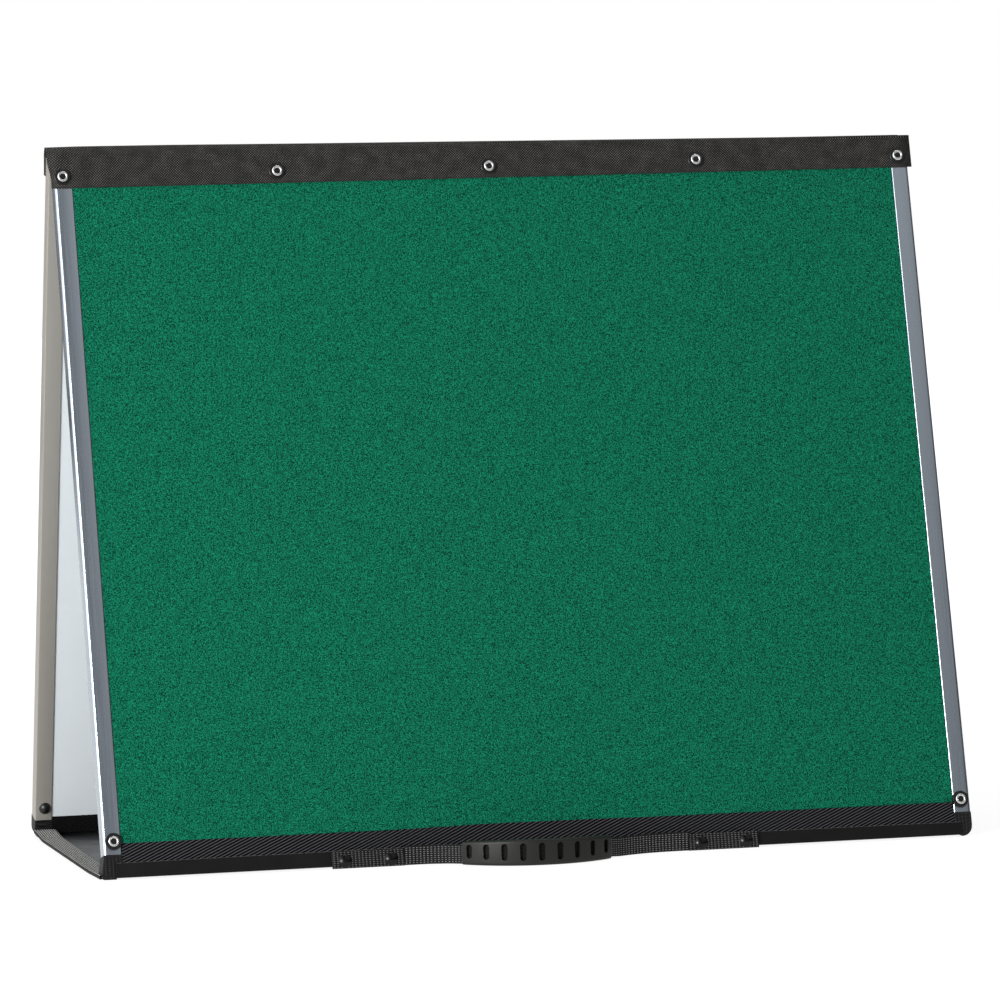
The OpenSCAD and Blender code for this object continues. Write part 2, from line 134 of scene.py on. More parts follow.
def running_length(line: Sequence[Sequence[float]]) -> list[float]:
    """Measures a line of points.

    Args:
        line: The points, in order.

    Returns:
        The distance along the line at each of its points.
    """
    run = [0.0]
    for a, b in zip(line, line[1:]):
        run.append(run[-1] + math.dist(a, b))
    return run


def wave_scale(pitch: float) -> float:
    """Gives the wave texture's scale for ridges that lie a pitch apart."""
    return math.pi / 10 / pitch


# Finishes


@dataclass(frozen=True)
class Finish:
    """A surface finish: one material with its own pattern between two colours."""

    name: str
    tint: str
    roughness: float = 0.5
    metallic: float = 0.0
    ior: float = 1.5
    pale: str = "303030"

    def build(self) -> bpy.types.Material:
        """Makes the material.

        Returns:
            The finished material.
        """
        material = bpy.data.materials.new(self.name)
        material.use_nodes = True
        tree = material.node_tree
        shader = tree.nodes["Principled BSDF"]
        shader.inputs["Base Color"].default_value = linear(self.tint)
        shader.inputs["Roughness"].default_value = self.roughness
        shader.inputs["Metallic"].default_value = self.metallic
        shader.inputs["IOR"].default_value = self.ior
        self.dress(tree, shader)
        return material

    def dress(self, tree: bpy.types.NodeTree, shader: bpy.types.Node) -> None:
        """Adds the finish's own pattern to the shader."""

    def colour_by(self, tree: bpy.types.NodeTree, shader: bpy.types.Node,
                  mask: bpy.types.NodeSocket) -> None:
        """Colours the shader from the tint to the pale colour.

        Args:
            tree: The material's tree.
            shader: Its shader.
            mask: Socket with 0 for the tint and 1 for the pale colour.
        """
        mix = add_node(tree, "ShaderNodeMix", {"data_type": "RGBA"}, i0=mask,
                       i6=linear(self.tint), i7=linear(self.pale))
        tree.links.new(mix.outputs[2], shader.inputs["Base Color"])


@dataclass(frozen=True)
class Felt(Finish):
    """Needle-punched polyester felt: a matte pile, mottled by clumps of fibre, with painted
    shade in its pits.
    """

    clump: float = 1.0 * MM
    # Real fibres are far finer. This is as coarse as they need to be to show.
    fibre: float = 0.5 * MM
    pits: tuple[float, float] = (0.88, 1.16)

    def dress(self, tree: bpy.types.NodeTree, shader: bpy.types.Node) -> None:
        """Adds clumps, fibres and a fuzzy edge.

        Args:
            tree: The material's tree.
            shader: Its shader.
        """
        place = add_node(tree, "ShaderNodeTexCoord")
        clumps = add_node(tree, "ShaderNodeTexNoise", None, Vector=place.outputs["Object"],
                          Scale=1 / self.clump, Detail=4.0, Roughness=0.7)
        fibres = add_node(tree, "ShaderNodeTexNoise", None, Vector=place.outputs["Object"],
                          Scale=1 / self.fibre, Detail=2.0)
        pile = add_node(tree, "ShaderNodeMath", {"operation": "ADD"}, i0=clumps.outputs[0],
                        i1=fibres.outputs[0])
        # The pile's low spots, where the bump sinks, are painted dark as shade; the rest of the
        # mottle is clumps of fibre.
        mask = add_node(tree, "ShaderNodeMapRange", None, Value=pile.outputs[0],
                        From_Min=self.pits[0], From_Max=self.pits[1])
        self.colour_by(tree, shader, mask.outputs[0])
        bump = add_node(tree, "ShaderNodeBump", None, Height=pile.outputs[0], Strength=0.6,
                        Distance=0.5 * MM)
        tree.links.new(bump.outputs[0], shader.inputs["Normal"])
        shader.inputs["Sheen Weight"].default_value = 0.04
        shader.inputs["Sheen Roughness"].default_value = 0.5
        shader.inputs["Specular IOR Level"].default_value = 0.05


@dataclass(frozen=True)
class Twill(Finish):
    """Heavy cotton twill tape: fat diagonal yarns with paler tops, partly rubbed and partly a
    painted highlight, and painted shade between them.
    """

    pale: str = "5b5b5f"
    pitch: float = 1.9 * MM
    thread: float = 0.9 * MM
    slant: float = 25.0
    wear_and_glint: tuple[float, float] = (0.72, 1.15)

    def dress(self, tree: bpy.types.NodeTree, shader: bpy.types.Node) -> None:
        """Adds the diagonal yarns, each twisted from finer threads.

        Args:
            tree: The material's tree.
            shader: Its shader.
        """
        place = add_node(tree, "ShaderNodeUVMap", {"uv_map": "Cloth"})
        turned = add_node(tree, "ShaderNodeMapping", None, Vector=place.outputs[0],
                          Rotation=(0.0, 0.0, math.radians(self.slant - 90)))
        yarn = add_node(tree, "ShaderNodeTexWave", None, Vector=turned.outputs[0],
                        Scale=wave_scale(self.pitch), Distortion=0.9, Detail=2.0,
                        Detail_Scale=1.5)
        thread = add_node(tree, "ShaderNodeTexWave", {"bands_direction": "Y"},
                          Vector=turned.outputs[0], Scale=wave_scale(self.thread),
                          Distortion=1.5, Detail=2.0)
        height = add_node(tree, "ShaderNodeMath", {"operation": "MULTIPLY_ADD"},
                          i0=thread.outputs[1], i1=0.18, i2=yarn.outputs[1])
        # The yarns' pale crowns are partly rubbed and partly a painted highlight; the dark
        # grooves are painted shade.
        mask = add_node(tree, "ShaderNodeMapRange", None, Value=height.outputs[0],
                        From_Min=self.wear_and_glint[0], From_Max=self.wear_and_glint[1])
        self.colour_by(tree, shader, mask.outputs[0])
        bump = add_node(tree, "ShaderNodeBump", None, Height=height.outputs[0],
                        Strength=0.9, Distance=0.8 * MM)
        tree.links.new(bump.outputs[0], shader.inputs["Normal"])
        shader.inputs["Specular IOR Level"].default_value = 0.08


@dataclass(frozen=True)
class Webbing(Finish):
    """Woven polypropylene webbing: ribs are built, this adds the picks along them, their crowns
    painted pale as highlights.
    """

    pick: float = 1.45 * MM
    fuzz: float = 0.7 * MM
    low: float = 0.75
    rise: float = 0.4
    fray: float = 0.3

    def dress(self, tree: bpy.types.NodeTree, shader: bpy.types.Node) -> None:
        """Adds the woven picks across the width.

        Args:
            tree: The material's tree.
            shader: Its shader.
        """
        place = add_node(tree, "ShaderNodeUVMap", {"uv_map": "Cloth"})
        picks = add_node(tree, "ShaderNodeTexWave", {"bands_direction": "Y"},
                         Vector=place.outputs[0], Scale=wave_scale(self.pick),
                         Distortion=0.4, Detail=1.0)
        fuzz = add_node(tree, "ShaderNodeTexNoise", None, Vector=place.outputs[0],
                        Scale=1 / self.fuzz, Detail=3.0)
        height = add_node(tree, "ShaderNodeMath", {"operation": "MULTIPLY_ADD"},
                          i0=fuzz.outputs[0], i1=self.fray, i2=picks.outputs[1])
        # The picks' pale crowns are painted highlights on the black threads; each copy of the
        # webbing gets its own brightness.
        mask = add_node(tree, "ShaderNodeMapRange", None, Value=height.outputs[0],
                        From_Min=self.low, From_Max=self.low + self.rise)
        self.colour_by(tree, shader, mask.outputs[0])
        bump = add_node(tree, "ShaderNodeBump", None, Height=height.outputs[0],
                        Strength=0.9, Distance=0.5 * MM)
        tree.links.new(bump.outputs[0], shader.inputs["Normal"])
        shader.inputs["Specular IOR Level"].default_value = 0.3


@dataclass(frozen=True)
class CoatedFabric(Finish):
    """Coated nylon for the spine: a plain check weave with a painted glint on each thread
    crossing.
    """

    pale: str = "73716e"
    # The real threads lie closer. They are drawn as coarse as they need to be to show.
    pitch: float = 1.85 * MM
    blotch: float = 9 * MM
    wear_and_glint: tuple[float, float] = (0.7, 1.35)

    def dress(self, tree: bpy.types.NodeTree, shader: bpy.types.Node) -> None:
        """Adds the two sets of threads, drawn on the bias.

        Args:
            tree: The material's tree.
            shader: Its shader.
        """
        place = add_node(tree, "ShaderNodeUVMap", {"uv_map": "Cloth"})
        turned = add_node(tree, "ShaderNodeMapping", None, Vector=place.outputs[0],
                          Rotation=(0.0, 0.0, math.radians(45)))
        scale = wave_scale(self.pitch / math.sqrt(2))
        warp = add_node(tree, "ShaderNodeTexWave", None, Vector=turned.outputs[0],
                        Scale=scale, Distortion=0.3)
        weft = add_node(tree, "ShaderNodeTexWave", {"bands_direction": "Y"},
                        Vector=turned.outputs[0], Scale=scale, Distortion=0.3)
        height = add_node(tree, "ShaderNodeMath", {"operation": "MULTIPLY"},
                          i0=warp.outputs[1], i1=weft.outputs[1])
        blotch = add_node(tree, "ShaderNodeTexNoise", None, Vector=place.outputs[0],
                          Scale=1 / self.blotch, Detail=3.0)
        # The pale on the thread crossings is a painted glint; the blotches are rubbed patches.
        glints_and_wear = add_node(tree, "ShaderNodeMath", {"operation": "MULTIPLY_ADD"},
                        i0=blotch.outputs[0], i1=0.7, i2=height.outputs[0])
        mask = add_node(tree, "ShaderNodeMapRange", None, Value=glints_and_wear.outputs[0],
                        From_Min=self.wear_and_glint[0], From_Max=self.wear_and_glint[1])
        self.colour_by(tree, shader, mask.outputs[0])
        bump = add_node(tree, "ShaderNodeBump", None, Height=height.outputs[0],
                        Strength=0.5, Distance=0.3 * MM)
        tree.links.new(bump.outputs[0], shader.inputs["Normal"])
        shader.inputs["Specular IOR Level"].default_value = 0.12


@dataclass(frozen=True)
class Speckled(Finish):
    """A plain moulded, laminated, enamelled or calendered skin with faint unevenness."""

    patch: float = 20 * MM
    grain: float = 0.0
    grain_depth: float = 0.05 * MM
    gloss_change: float = 0.06
    shine: float = 0.5

    def dress(self, tree: bpy.types.NodeTree, shader: bpy.types.Node) -> None:
        """Adds slow colour and gloss changes, and a fine grain where there is one.

        Args:
            tree: The material's tree.
            shader: Its shader.
        """
        shader.inputs["Specular IOR Level"].default_value = self.shine
        place = add_node(tree, "ShaderNodeTexCoord")
        slow = add_node(tree, "ShaderNodeTexNoise", None, Vector=place.outputs["Object"],
                        Scale=1 / self.patch, Detail=3.0)
        self.colour_by(tree, shader, slow.outputs[0])
        rough = add_node(tree, "ShaderNodeMapRange", None, Value=slow.outputs[0],
                         From_Min=0.3, From_Max=0.7,
                         To_Min=self.roughness - self.gloss_change,
                         To_Max=self.roughness + self.gloss_change)
        tree.links.new(rough.outputs[0], shader.inputs["Roughness"])
        if self.grain:
            fine = add_node(tree, "ShaderNodeTexNoise", None, Vector=place.outputs["Object"],
                            Scale=1 / self.grain, Detail=2.0)
            bump = add_node(tree, "ShaderNodeBump", None, Height=fine.outputs[0],
                            Strength=0.5, Distance=self.grain_depth)
            tree.links.new(bump.outputs[0], shader.inputs["Normal"])


@dataclass(frozen=True)
class Anodised(Finish):
    """Satin anodised aluminium extrusion: faint die lines run along its length."""

    # Real die lines lie closer. They are drawn as coarse as they need to be to show.
    line: float = 0.6 * MM
    stretch: tuple[float, float] = (40.0, 120.0)
    gloss_change: float = 0.06

    def dress(self, tree: bpy.types.NodeTree, shader: bpy.types.Node) -> None:
        """Adds the die lines and small handling marks.

        Args:
            tree: The material's tree.
            shader: Its shader.
        """
        place = add_node(tree, "ShaderNodeTexCoord")
        drawn = add_node(tree, "ShaderNodeMapping", None, Vector=place.outputs["Object"],
                         Scale=(1 / self.line, 1 / (self.stretch[0] * self.line),
                                1 / (self.stretch[1] * self.line)))
        lines = add_node(tree, "ShaderNodeTexNoise", None, Vector=drawn.outputs[0],
                         Scale=1.0, Detail=2.0)
        rough = add_node(tree, "ShaderNodeMapRange", None, Value=lines.outputs[0],
                         From_Min=0.3, From_Max=0.7,
                         To_Min=self.roughness - self.gloss_change,
                         To_Max=self.roughness + self.gloss_change)
        tree.links.new(rough.outputs[0], shader.inputs["Roughness"])
        bump = add_node(tree, "ShaderNodeBump", None, Height=lines.outputs[0],
                        Strength=0.06, Distance=0.05 * MM)
        tree.links.new(bump.outputs[0], shader.inputs["Normal"])


class Surface(Enum):
    """Every finish on the easel."""

    # Loose fibre punched through itself by barbed needles: a dull pile, mottled by clumps, with
    # painted shade darker in its pits.
    FELT = Felt("needle felt", "00291b", 0.95, pale="148765")
    # Woven on a twill draft and rubbed since: pale ridges with black grooves between, the ridges
    # partly rubbed and partly a painted highlight, the grooves painted shade.
    TWILL = Twill("cotton twill tape", "070709", 0.8)
    # The same weave in a finer count, its ridges painted darker as shade: nearly even black.
    SHADED_FINE_TWILL = Twill("finer twill tape on the back board in painted shade", "060607", 0.8, pale="2b2b2d",
                       pitch=1.5 * MM)
    # Ribbed narrow weave pulled flat by its rivets: rows of small picks, grey with painted
    # highlights.
    WEBBING = Webbing("polypropylene webbing", "070708", 0.45, pale="686869")
    # The same webbing where it hangs free: its picks carry brighter painted highlights, as
    # beads.
    LOOP = Webbing("loose loop of the webbing", "070708", 0.4, pale="acacac", low=0.88)
    # The same webbing folded round a corner: its picks carry only dim painted highlights.
    BOOT = Webbing("folded boot webbing", "070708", 0.55, pale="232323")
    # The threads that lie under the ribs: near black, so the ribs stand clear.
    GROUND = Webbing("webbing ground threads", "050505", 0.7, pale="121212")
    # Loosely woven tape: salt and pepper, its pale threads a painted sheen.
    TAPE = Webbing("webbing tape with painted sheen", "161616", 0.55, pale="c4c4c0", low=0.9, fray=1.1,
                   pick=1.6 * MM)
    # Plain woven nylon with a thin coat: each crossing carries a painted glint, and rubbed
    # blotches mark it.
    SPINE = CoatedFabric("coated nylon fabric", "171716", 0.6)
    # A painted highlight: a pale line along the black strip's knife-cut top edge, where it looks
    # up.
    EDGE_HIGHLIGHT = Speckled("painted highlight on the vinyl's top edge", "8e8e8c", 0.6, pale="a2a2a0", patch=4 * MM)
    # Rolled out between heated drums: even black with a low sheen.
    VINYL = Speckled("calendered vinyl sheet", "0b0b0b", 0.5, pale="101010", grain=0.6 * MM,
                     shine=0.2)
    # The same sheet with its glossier face up: it mirrors the board over it softly.
    BASE_VINYL = Speckled("calendered vinyl floor sheet", "171718", 0.34, pale="222223",
                          grain=0.8 * MM)
    # Resin paper pressed on board against a satin plate: cool, even white.
    LINER = Speckled("satin laminate", "e2e8eb", 0.45, pale="dde3e7", patch=80 * MM)
    # Sprayed on steel sheet and baked: a hard, even gloss to write on.
    ENAMEL = Speckled("writing enamel on steel", "f0f1f1", 0.18, pale="eceded", patch=90 * MM,
                      gloss_change=0.02)
    # Wood fibre pressed to a slab: a dull brown edge.
    BOARD = Speckled("raw fibreboard", "5d5147", 0.85, pale="6c5e50", patch=4 * MM,
                     grain=0.4 * MM, grain_depth=0.2 * MM)
    # Extruded, then anodised: die lines draw its highlights out along the channel.
    TRIM = Anodised("satin anodised aluminium", "bfcad6", 0.25, 1.0)
    # The same anodised aluminium on the back board: its duller, warmer tint is painted shade and
    # warm reflection, with hardly a highlight.
    SHADED_REAR_TRIM = Anodised("back board's aluminium in painted shade", "a9a59d", 0.4, 0.45)
    # Brass tube rolled over and nickel plated: a soft bright ring.
    NICKEL = Speckled("nickel plated brass", "ebecec", 0.33, 1.0, pale="e2e3e3", patch=3 * MM)
    # Pressed steel dipped in black lacquer: one small highlight on each dome.
    STUD = Speckled("black lacquered stud", "070707", 0.24, pale="0b0b0b", patch=6 * MM,
                    gloss_change=0.04, shine=0.25)
    # Moulded nylon with a fine grain: soft-edged gloss on black.
    WASHER = Speckled("black nylon washer", "0a0a0a", 0.35, pale="101010", grain=0.5 * MM)
    # Moulded in a grained tool: a dull, slightly brown dark grey.
    GRIP = Speckled("moulded thermoplastic rubber", "191917", 0.45, pale="1f1f1c", shine=0.3,
                    grain=0.35 * MM)
    # Matte paint under the easel: it only carries the shadow.
    FLOOR = Speckled("white studio floor", "e8e8e8", 0.9, pale="e8e8e8", patch=900 * MM,
                     gloss_change=0.0)


class Paintbox:
    """Makes each material once and hands it out."""

    def __init__(self) -> None:
        """Starts with no material made."""
        self.made: dict[Surface, bpy.types.Material] = {}

    def get(self, surface: Surface) -> bpy.types.Material:
        """Hands out a material, made on first use.

        Args:
            surface: The surface it is for.

        Returns:
            The surface's material.
        """
        if surface not in self.made:
            self.made[surface] = surface.value.build()
        return self.made[surface]

    def coat(self, node: bpy.types.Object, surface: Surface) -> None:
        """Puts a material on every slot of an object.

        Args:
            node: The object.
            surface: The surface that it gets.
        """
        material = self.get(surface)
        if not node.material_slots:
            node.data.materials.append(material)
        for spot in node.material_slots:
            spot.material = material


# Mesh building


@dataclass
class Patchwork:
    """Collects points, faces and cloth coordinates for one mesh."""

    points: list[tuple[float, float, float]] = field(default_factory=list)
    faces: list[tuple[int, ...]] = field(default_factory=list)
    cloth: list[list[tuple[float, float]]] = field(default_factory=list)

    def grid(self, across: Sequence[float], along: Sequence[float],
             place: Callable[[float, float], tuple[float, float, float]]) -> None:
        """Adds a grid of quads.

        Args:
            across: Values of the first parameter, in metres on the cloth.
            along: Values of the second parameter, in metres on the cloth.
            place: Gives the point at the two parameters.
        """
        base = len(self.points)
        rows = len(along)
        self.points += [place(a, b) for a in across for b in along]
        for i in range(len(across) - 1):
            for j in range(rows - 1):
                quad = [(i, j), (i + 1, j), (i + 1, j + 1), (i, j + 1)]
                self.faces.append(tuple(base + p * rows + q for p, q in quad))
                self.cloth.append([(across[p], along[q]) for p, q in quad])

    def tube(self, outline: Sequence[tuple[float, float]], stations: Sequence[float],
             place: Callable[[float, tuple[float, float]], tuple[float, float, float]]
             ) -> None:
        """Sweeps a closed outline past stations and caps both ends.

        Args:
            outline: Points of the section, in order.
            stations: Distances along the sweep.
            place: Gives the point of a station and an outline point.
        """
        base = len(self.points)
        count = len(outline)
        girth = running_length([*outline, outline[0]])
        for s in stations:
            self.points += [place(s, p) for p in outline]
        for i in range(len(stations) - 1):
            for j in range(count):
                k = (j + 1) % count
                self.faces.append((base + i * count + j, base + i * count + k,
                                   base + (i + 1) * count + k, base + (i + 1) * count + j))
                self.cloth.append([(stations[i], girth[j]), (stations[i], girth[j + 1]),
                                   (stations[i + 1], girth[j + 1]),
                                   (stations[i + 1], girth[j])])
        last = base + (len(stations) - 1) * count
        self.faces.append(tuple(base + j for j in reversed(range(count))))
        self.cloth.append([outline[j] for j in reversed(range(count))])
        self.faces.append(tuple(last + j for j in range(count)))
        self.cloth.append(list(outline))

    def loft(self, outline: Callable[[float], Sequence[tuple[float, float]]],
             stations: Sequence[float],
             place: Callable[[float, tuple[float, float]], tuple[float, float, float]]
             ) -> None:
        """Sweeps an outline that changes on its way.

        Args:
            outline: Gives the section at a station, always with as many points.
            stations: Distances along the sweep.
            place: Gives the point of a station and an outline point.
        """
        flat = outline(0.0)
        order = {point: i for i, point in enumerate(flat)}
        self.tube(flat, stations, lambda s, p: place(s, outline(s)[order[p]]))

    def finish(self, name: str, material: bpy.types.Material,
               smooth: float = 35.0) -> bpy.types.Object:
        """Makes the object.

        Args:
            name: The piece's name.
            material: Its material.
            smooth: Edges that turn by less than this many degrees are shaded smooth.

        Returns:
            The new object, with its faces pointing outwards.
        """
        mesh = bpy.data.meshes.new(name)
        mesh.from_pydata(self.points, [], self.faces)
        layer = mesh.uv_layers.new(name="Cloth")
        for loop, uv in zip(layer.data, [uv for face in self.cloth for uv in face]):
            loop.uv = uv
        work = bmesh.new()
        work.from_mesh(mesh)
        bmesh.ops.remove_doubles(work, verts=work.verts, dist=1e-6)
        bmesh.ops.recalc_face_normals(work, faces=work.faces)
        work.to_mesh(mesh)
        work.free()
        mesh.materials.append(material)
        for face in mesh.polygons:
            face.use_smooth = True
        mesh.set_sharp_from_angle(angle=math.radians(smooth))
        piece = bpy.data.objects.new(name, mesh)
        bpy.context.scene.collection.objects.link(piece)
        return piece


def steps(low: float, high: float, size: float) -> list[float]:
    """Divides a stretch into equal steps no longer than size."""
    count = max(1, math.ceil(abs(high - low) / size - 1e-9))
    return [low + (high - low) * i / count for i in range(count + 1)]


def rounded_outline(corners: Sequence[tuple[float, float]], radii: Sequence[float],
                    parts: int = 4) -> list[tuple[float, float]]:
    """Rounds the corners of a polygon.

    Args:
        corners: The polygon's corners, in order.
        radii: The radius at each corner.
        parts: Segments in each rounded corner.

    Returns:
        The rounded outline.
    """
    out: list[tuple[float, float]] = []
    count = len(corners)
    for i, radius in enumerate(radii):
        here = Vector(corners[i])
        if radius <= 0:
            out.append(tuple(here))
            continue
        before = Vector(corners[i - 1]) - here
        after = Vector(corners[(i + 1) % count]) - here
        angle = before.angle(after)
        reach = min(radius / math.tan(angle / 2), before.length * 0.49, after.length * 0.49)
        start, end = here + before.normalized() * reach, here + after.normalized() * reach
        for k in range(parts + 1):
            t = k / parts
            point = start * (1 - t) ** 2 + here * 2 * t * (1 - t) + end * t ** 2
            out.append((point.x, point.y))
    return out


def dome_arc(rim: float, high: float, parts: int) -> list[tuple[float, float]]:
    """Draws a dome from its top down to its rim.

    Args:
        rim: Radius of the rim.
        high: Height of the top above the rim.
        parts: Segments from top to rim.

    Returns:
        Points of radius and height.
    """
    ball = (rim * rim + high * high) / (2 * high)
    last = math.asin(rim / ball)
    return [(ball * math.sin(last * k / parts), high - ball + ball * math.cos(last * k / parts))
            for k in range(parts + 1)]


def lathe(profile: Sequence[tuple[float, float]], turns: int = 32) -> bpy.types.Mesh:
    """Turns a profile of radius and height about Z.

    Args:
        profile: Points of radius and height, from the axis outwards and back.
        turns: Facets round the axis.

    Returns:
        The closed mesh.
    """
    work = bmesh.new()
    points = [work.verts.new((r, 0, h)) for r, h in profile]
    edges = [work.edges.new((a, b)) for a, b in zip(points, points[1:])]
    bmesh.ops.spin(work, geom=points + edges, angle=2 * math.pi, steps=turns,
                   axis=(0, 0, 1), cent=(0, 0, 0))
    bmesh.ops.remove_doubles(work, verts=work.verts, dist=1e-6)
    bmesh.ops.recalc_face_normals(work, faces=work.faces)
    mesh = bpy.data.meshes.new("turned")
    work.to_mesh(mesh)
    work.free()
    for face in mesh.polygons:
        face.use_smooth = True
    mesh.set_sharp_from_angle(angle=math.radians(40))
    return mesh


@dataclass
class Stamp:
    """Copies one small mesh to many places with a geometry tree."""

    name: str
    template: bpy.types.Mesh
    material: bpy.types.Material

    def tree(self) -> bpy.types.NodeTree:
        """Builds the geometry tree.

        Returns:
            A tree with inputs for the points, the template and its material, that puts a
            copy on each point, turned by the point's own rotation.
        """
        group = bpy.data.node_groups.new(self.name + " row", "GeometryNodeTree")
        face = group.interface
        for name, way, kind in (("Points", "INPUT", "Geometry"), ("Template", "INPUT", "Object"),
                                ("Material", "INPUT", "Material"),
                                ("Copies", "OUTPUT", "Geometry")):
            face.new_socket(name=name, in_out=way, socket_type="NodeSocket" + kind)
        source = group.nodes.new("NodeGroupInput")
        info = add_node(group, "GeometryNodeObjectInfo", None, Object=source.outputs[1])
        turn = add_node(group, "GeometryNodeInputNamedAttribute",
                        {"data_type": "QUATERNION"}, Name="turn")
        copies = add_node(group, "GeometryNodeInstanceOnPoints", None,
                          Points=source.outputs[0], Instance=info.outputs["Geometry"],
                          Rotation=turn.outputs[0])
        real = add_node(group, "GeometryNodeRealizeInstances", None,
                        Geometry=copies.outputs[0])
        coat = add_node(group, "GeometryNodeSetMaterial", None, Geometry=real.outputs[0],
                        Material=source.outputs[2])
        add_node(group, "NodeGroupOutput", None, i0=coat.outputs[0])
        return group

    def place(self, spots: Sequence[Matrix]) -> bpy.types.Object:
        """Puts a copy at each spot and makes the result one plain mesh.

        Args:
            spots: Place and turn of each copy. Its scale is left out.

        Returns:
            The new object, at the origin.
        """
        mesh = bpy.data.meshes.new(self.name)
        mesh.from_pydata([m.translation for m in spots], [], [])
        turn = mesh.attributes.new("turn", "QUATERNION", "POINT")
        for item, m in zip(turn.data, spots):
            item.value = m.to_quaternion()
        host = bpy.data.objects.new(self.name + " points", mesh)
        stamp = bpy.data.objects.new(self.name + " template", self.template)
        for thing in (host, stamp):
            bpy.context.scene.collection.objects.link(thing)
        modifier = host.modifiers.new("Copies", "NODES")
        modifier.node_group = self.tree()
        values = {"Template": stamp, "Material": self.material}
        for item in modifier.node_group.interface.items_tree:
            if item.item_type == "SOCKET" and item.in_out == "INPUT" and item.name in values:
                modifier[item.identifier] = values[item.name]
        bpy.context.view_layer.update()
        graph = bpy.context.evaluated_depsgraph_get()
        solid = bpy.data.meshes.new_from_object(host.evaluated_get(graph),
                                                preserve_all_data_layers=True,
                                                depsgraph=graph)
        host.modifiers.clear()
        for thing in (host, stamp):
            bpy.data.objects.remove(thing)
        if "turn" in solid.attributes:
            solid.attributes.remove(solid.attributes["turn"])
        solid.name = self.name
        if not solid.materials:
            solid.materials.append(self.material)
        piece = bpy.data.objects.new(self.name, solid)
        bpy.context.scene.collection.objects.link(piece)
        return piece


def rib_mesh(length: float, width: float, height: float, cuts: int = 8) -> bpy.types.Mesh:
    """Makes one raised yarn that runs along Y and stands up along Z, with cloth places.

    Args:
        length: Length along Y.
        width: Width along X.
        height: Height of its crown.
        cuts: Segments along its length.

    Returns:
        The small closed mesh.
    """
    work = Patchwork()
    outline = [(-width / 2, -height * 0.2), (-width * 0.3, height * 0.75), (0.0, height),
               (width * 0.3, height * 0.75), (width / 2, -height * 0.2)]
    rows = steps(-length / 2, length / 2, length / cuts)

    def spot(s: float, p: tuple[float, float]) -> tuple[float, float, float]:
        """Lowers the yarn's two ends into the cloth.

        Args:
            s: Place along the yarn.
            p: Point of its section.

        Returns:
            The point on the yarn.
        """
        end = min(1.0, (length / 2 - abs(s)) / (0.06 * length) + 0.3)
        return (p[0], s, p[1] * end if p[1] > 0 else p[1])

    work.tube(outline, rows, spot)
    work.cloth = [[(v, u) for u, v in face] for face in work.cloth]
    piece = work.finish("yarn", bpy.data.materials.new("yarn"), 50)
    mesh = piece.data
    mesh.materials.clear()
    bpy.data.objects.remove(piece)
    return mesh


# The easel


@dataclass
class Panel:
    """One leaning panel's own frame: x along it, v into the board, u up its outer face."""

    rear: bool
    body: str
    tag: str
    lean: float = math.radians(14.8)
    # The outer face's bottom corner, where the CAD part has it.
    foot_y: float = -139.68757 * MM
    foot_z: float = 3.0 * MM
    half: float = 305 * MM
    slab: float = 12 * MM
    height: float = 495.5 * MM
    twill_top: float = 20.8 * MM
    trim_lift: float = 13.6 * MM

    def at(self, x: float, v: float, u: float) -> tuple[float, float, float]:
        """Gives the place in the easel's frame of a point of the panel.

        Args:
            x: Distance along the panel.
            v: Depth into the board from its outer face.
            u: Height up the outer face.

        Returns:
            The point, in metres.
        """
        y = self.foot_y + v * math.cos(self.lean) + u * math.sin(self.lean)
        z = self.foot_z - v * math.sin(self.lean) + u * math.cos(self.lean)
        return (x, -y if self.rear else y, z)

    def level(self, v: float, below: float = 0.0) -> float:
        """Gives the height u of a level line some way under the board's cut bottom."""
        return v * math.tan(self.lean) - below / math.cos(self.lean)

    def spot(self, x: float, v: float, u: float) -> Matrix:
        """Gives a frame on the panel whose Z stands out of the outer face.

        Args:
            x: Distance along the panel.
            v: Depth into the board from its outer face.
            u: Height up the outer face.

        Returns:
            Its place and turn.
        """
        out = Vector(self.at(0, -1, 0)) - Vector(self.at(0, 0, 0))
        up = Vector(self.at(0, 0, 1)) - Vector(self.at(0, 0, 0))
        side = up.cross(out)
        turn = Matrix((side, up, out)).transposed().to_4x4()
        return Matrix.Translation(self.at(x, v, u)) @ turn


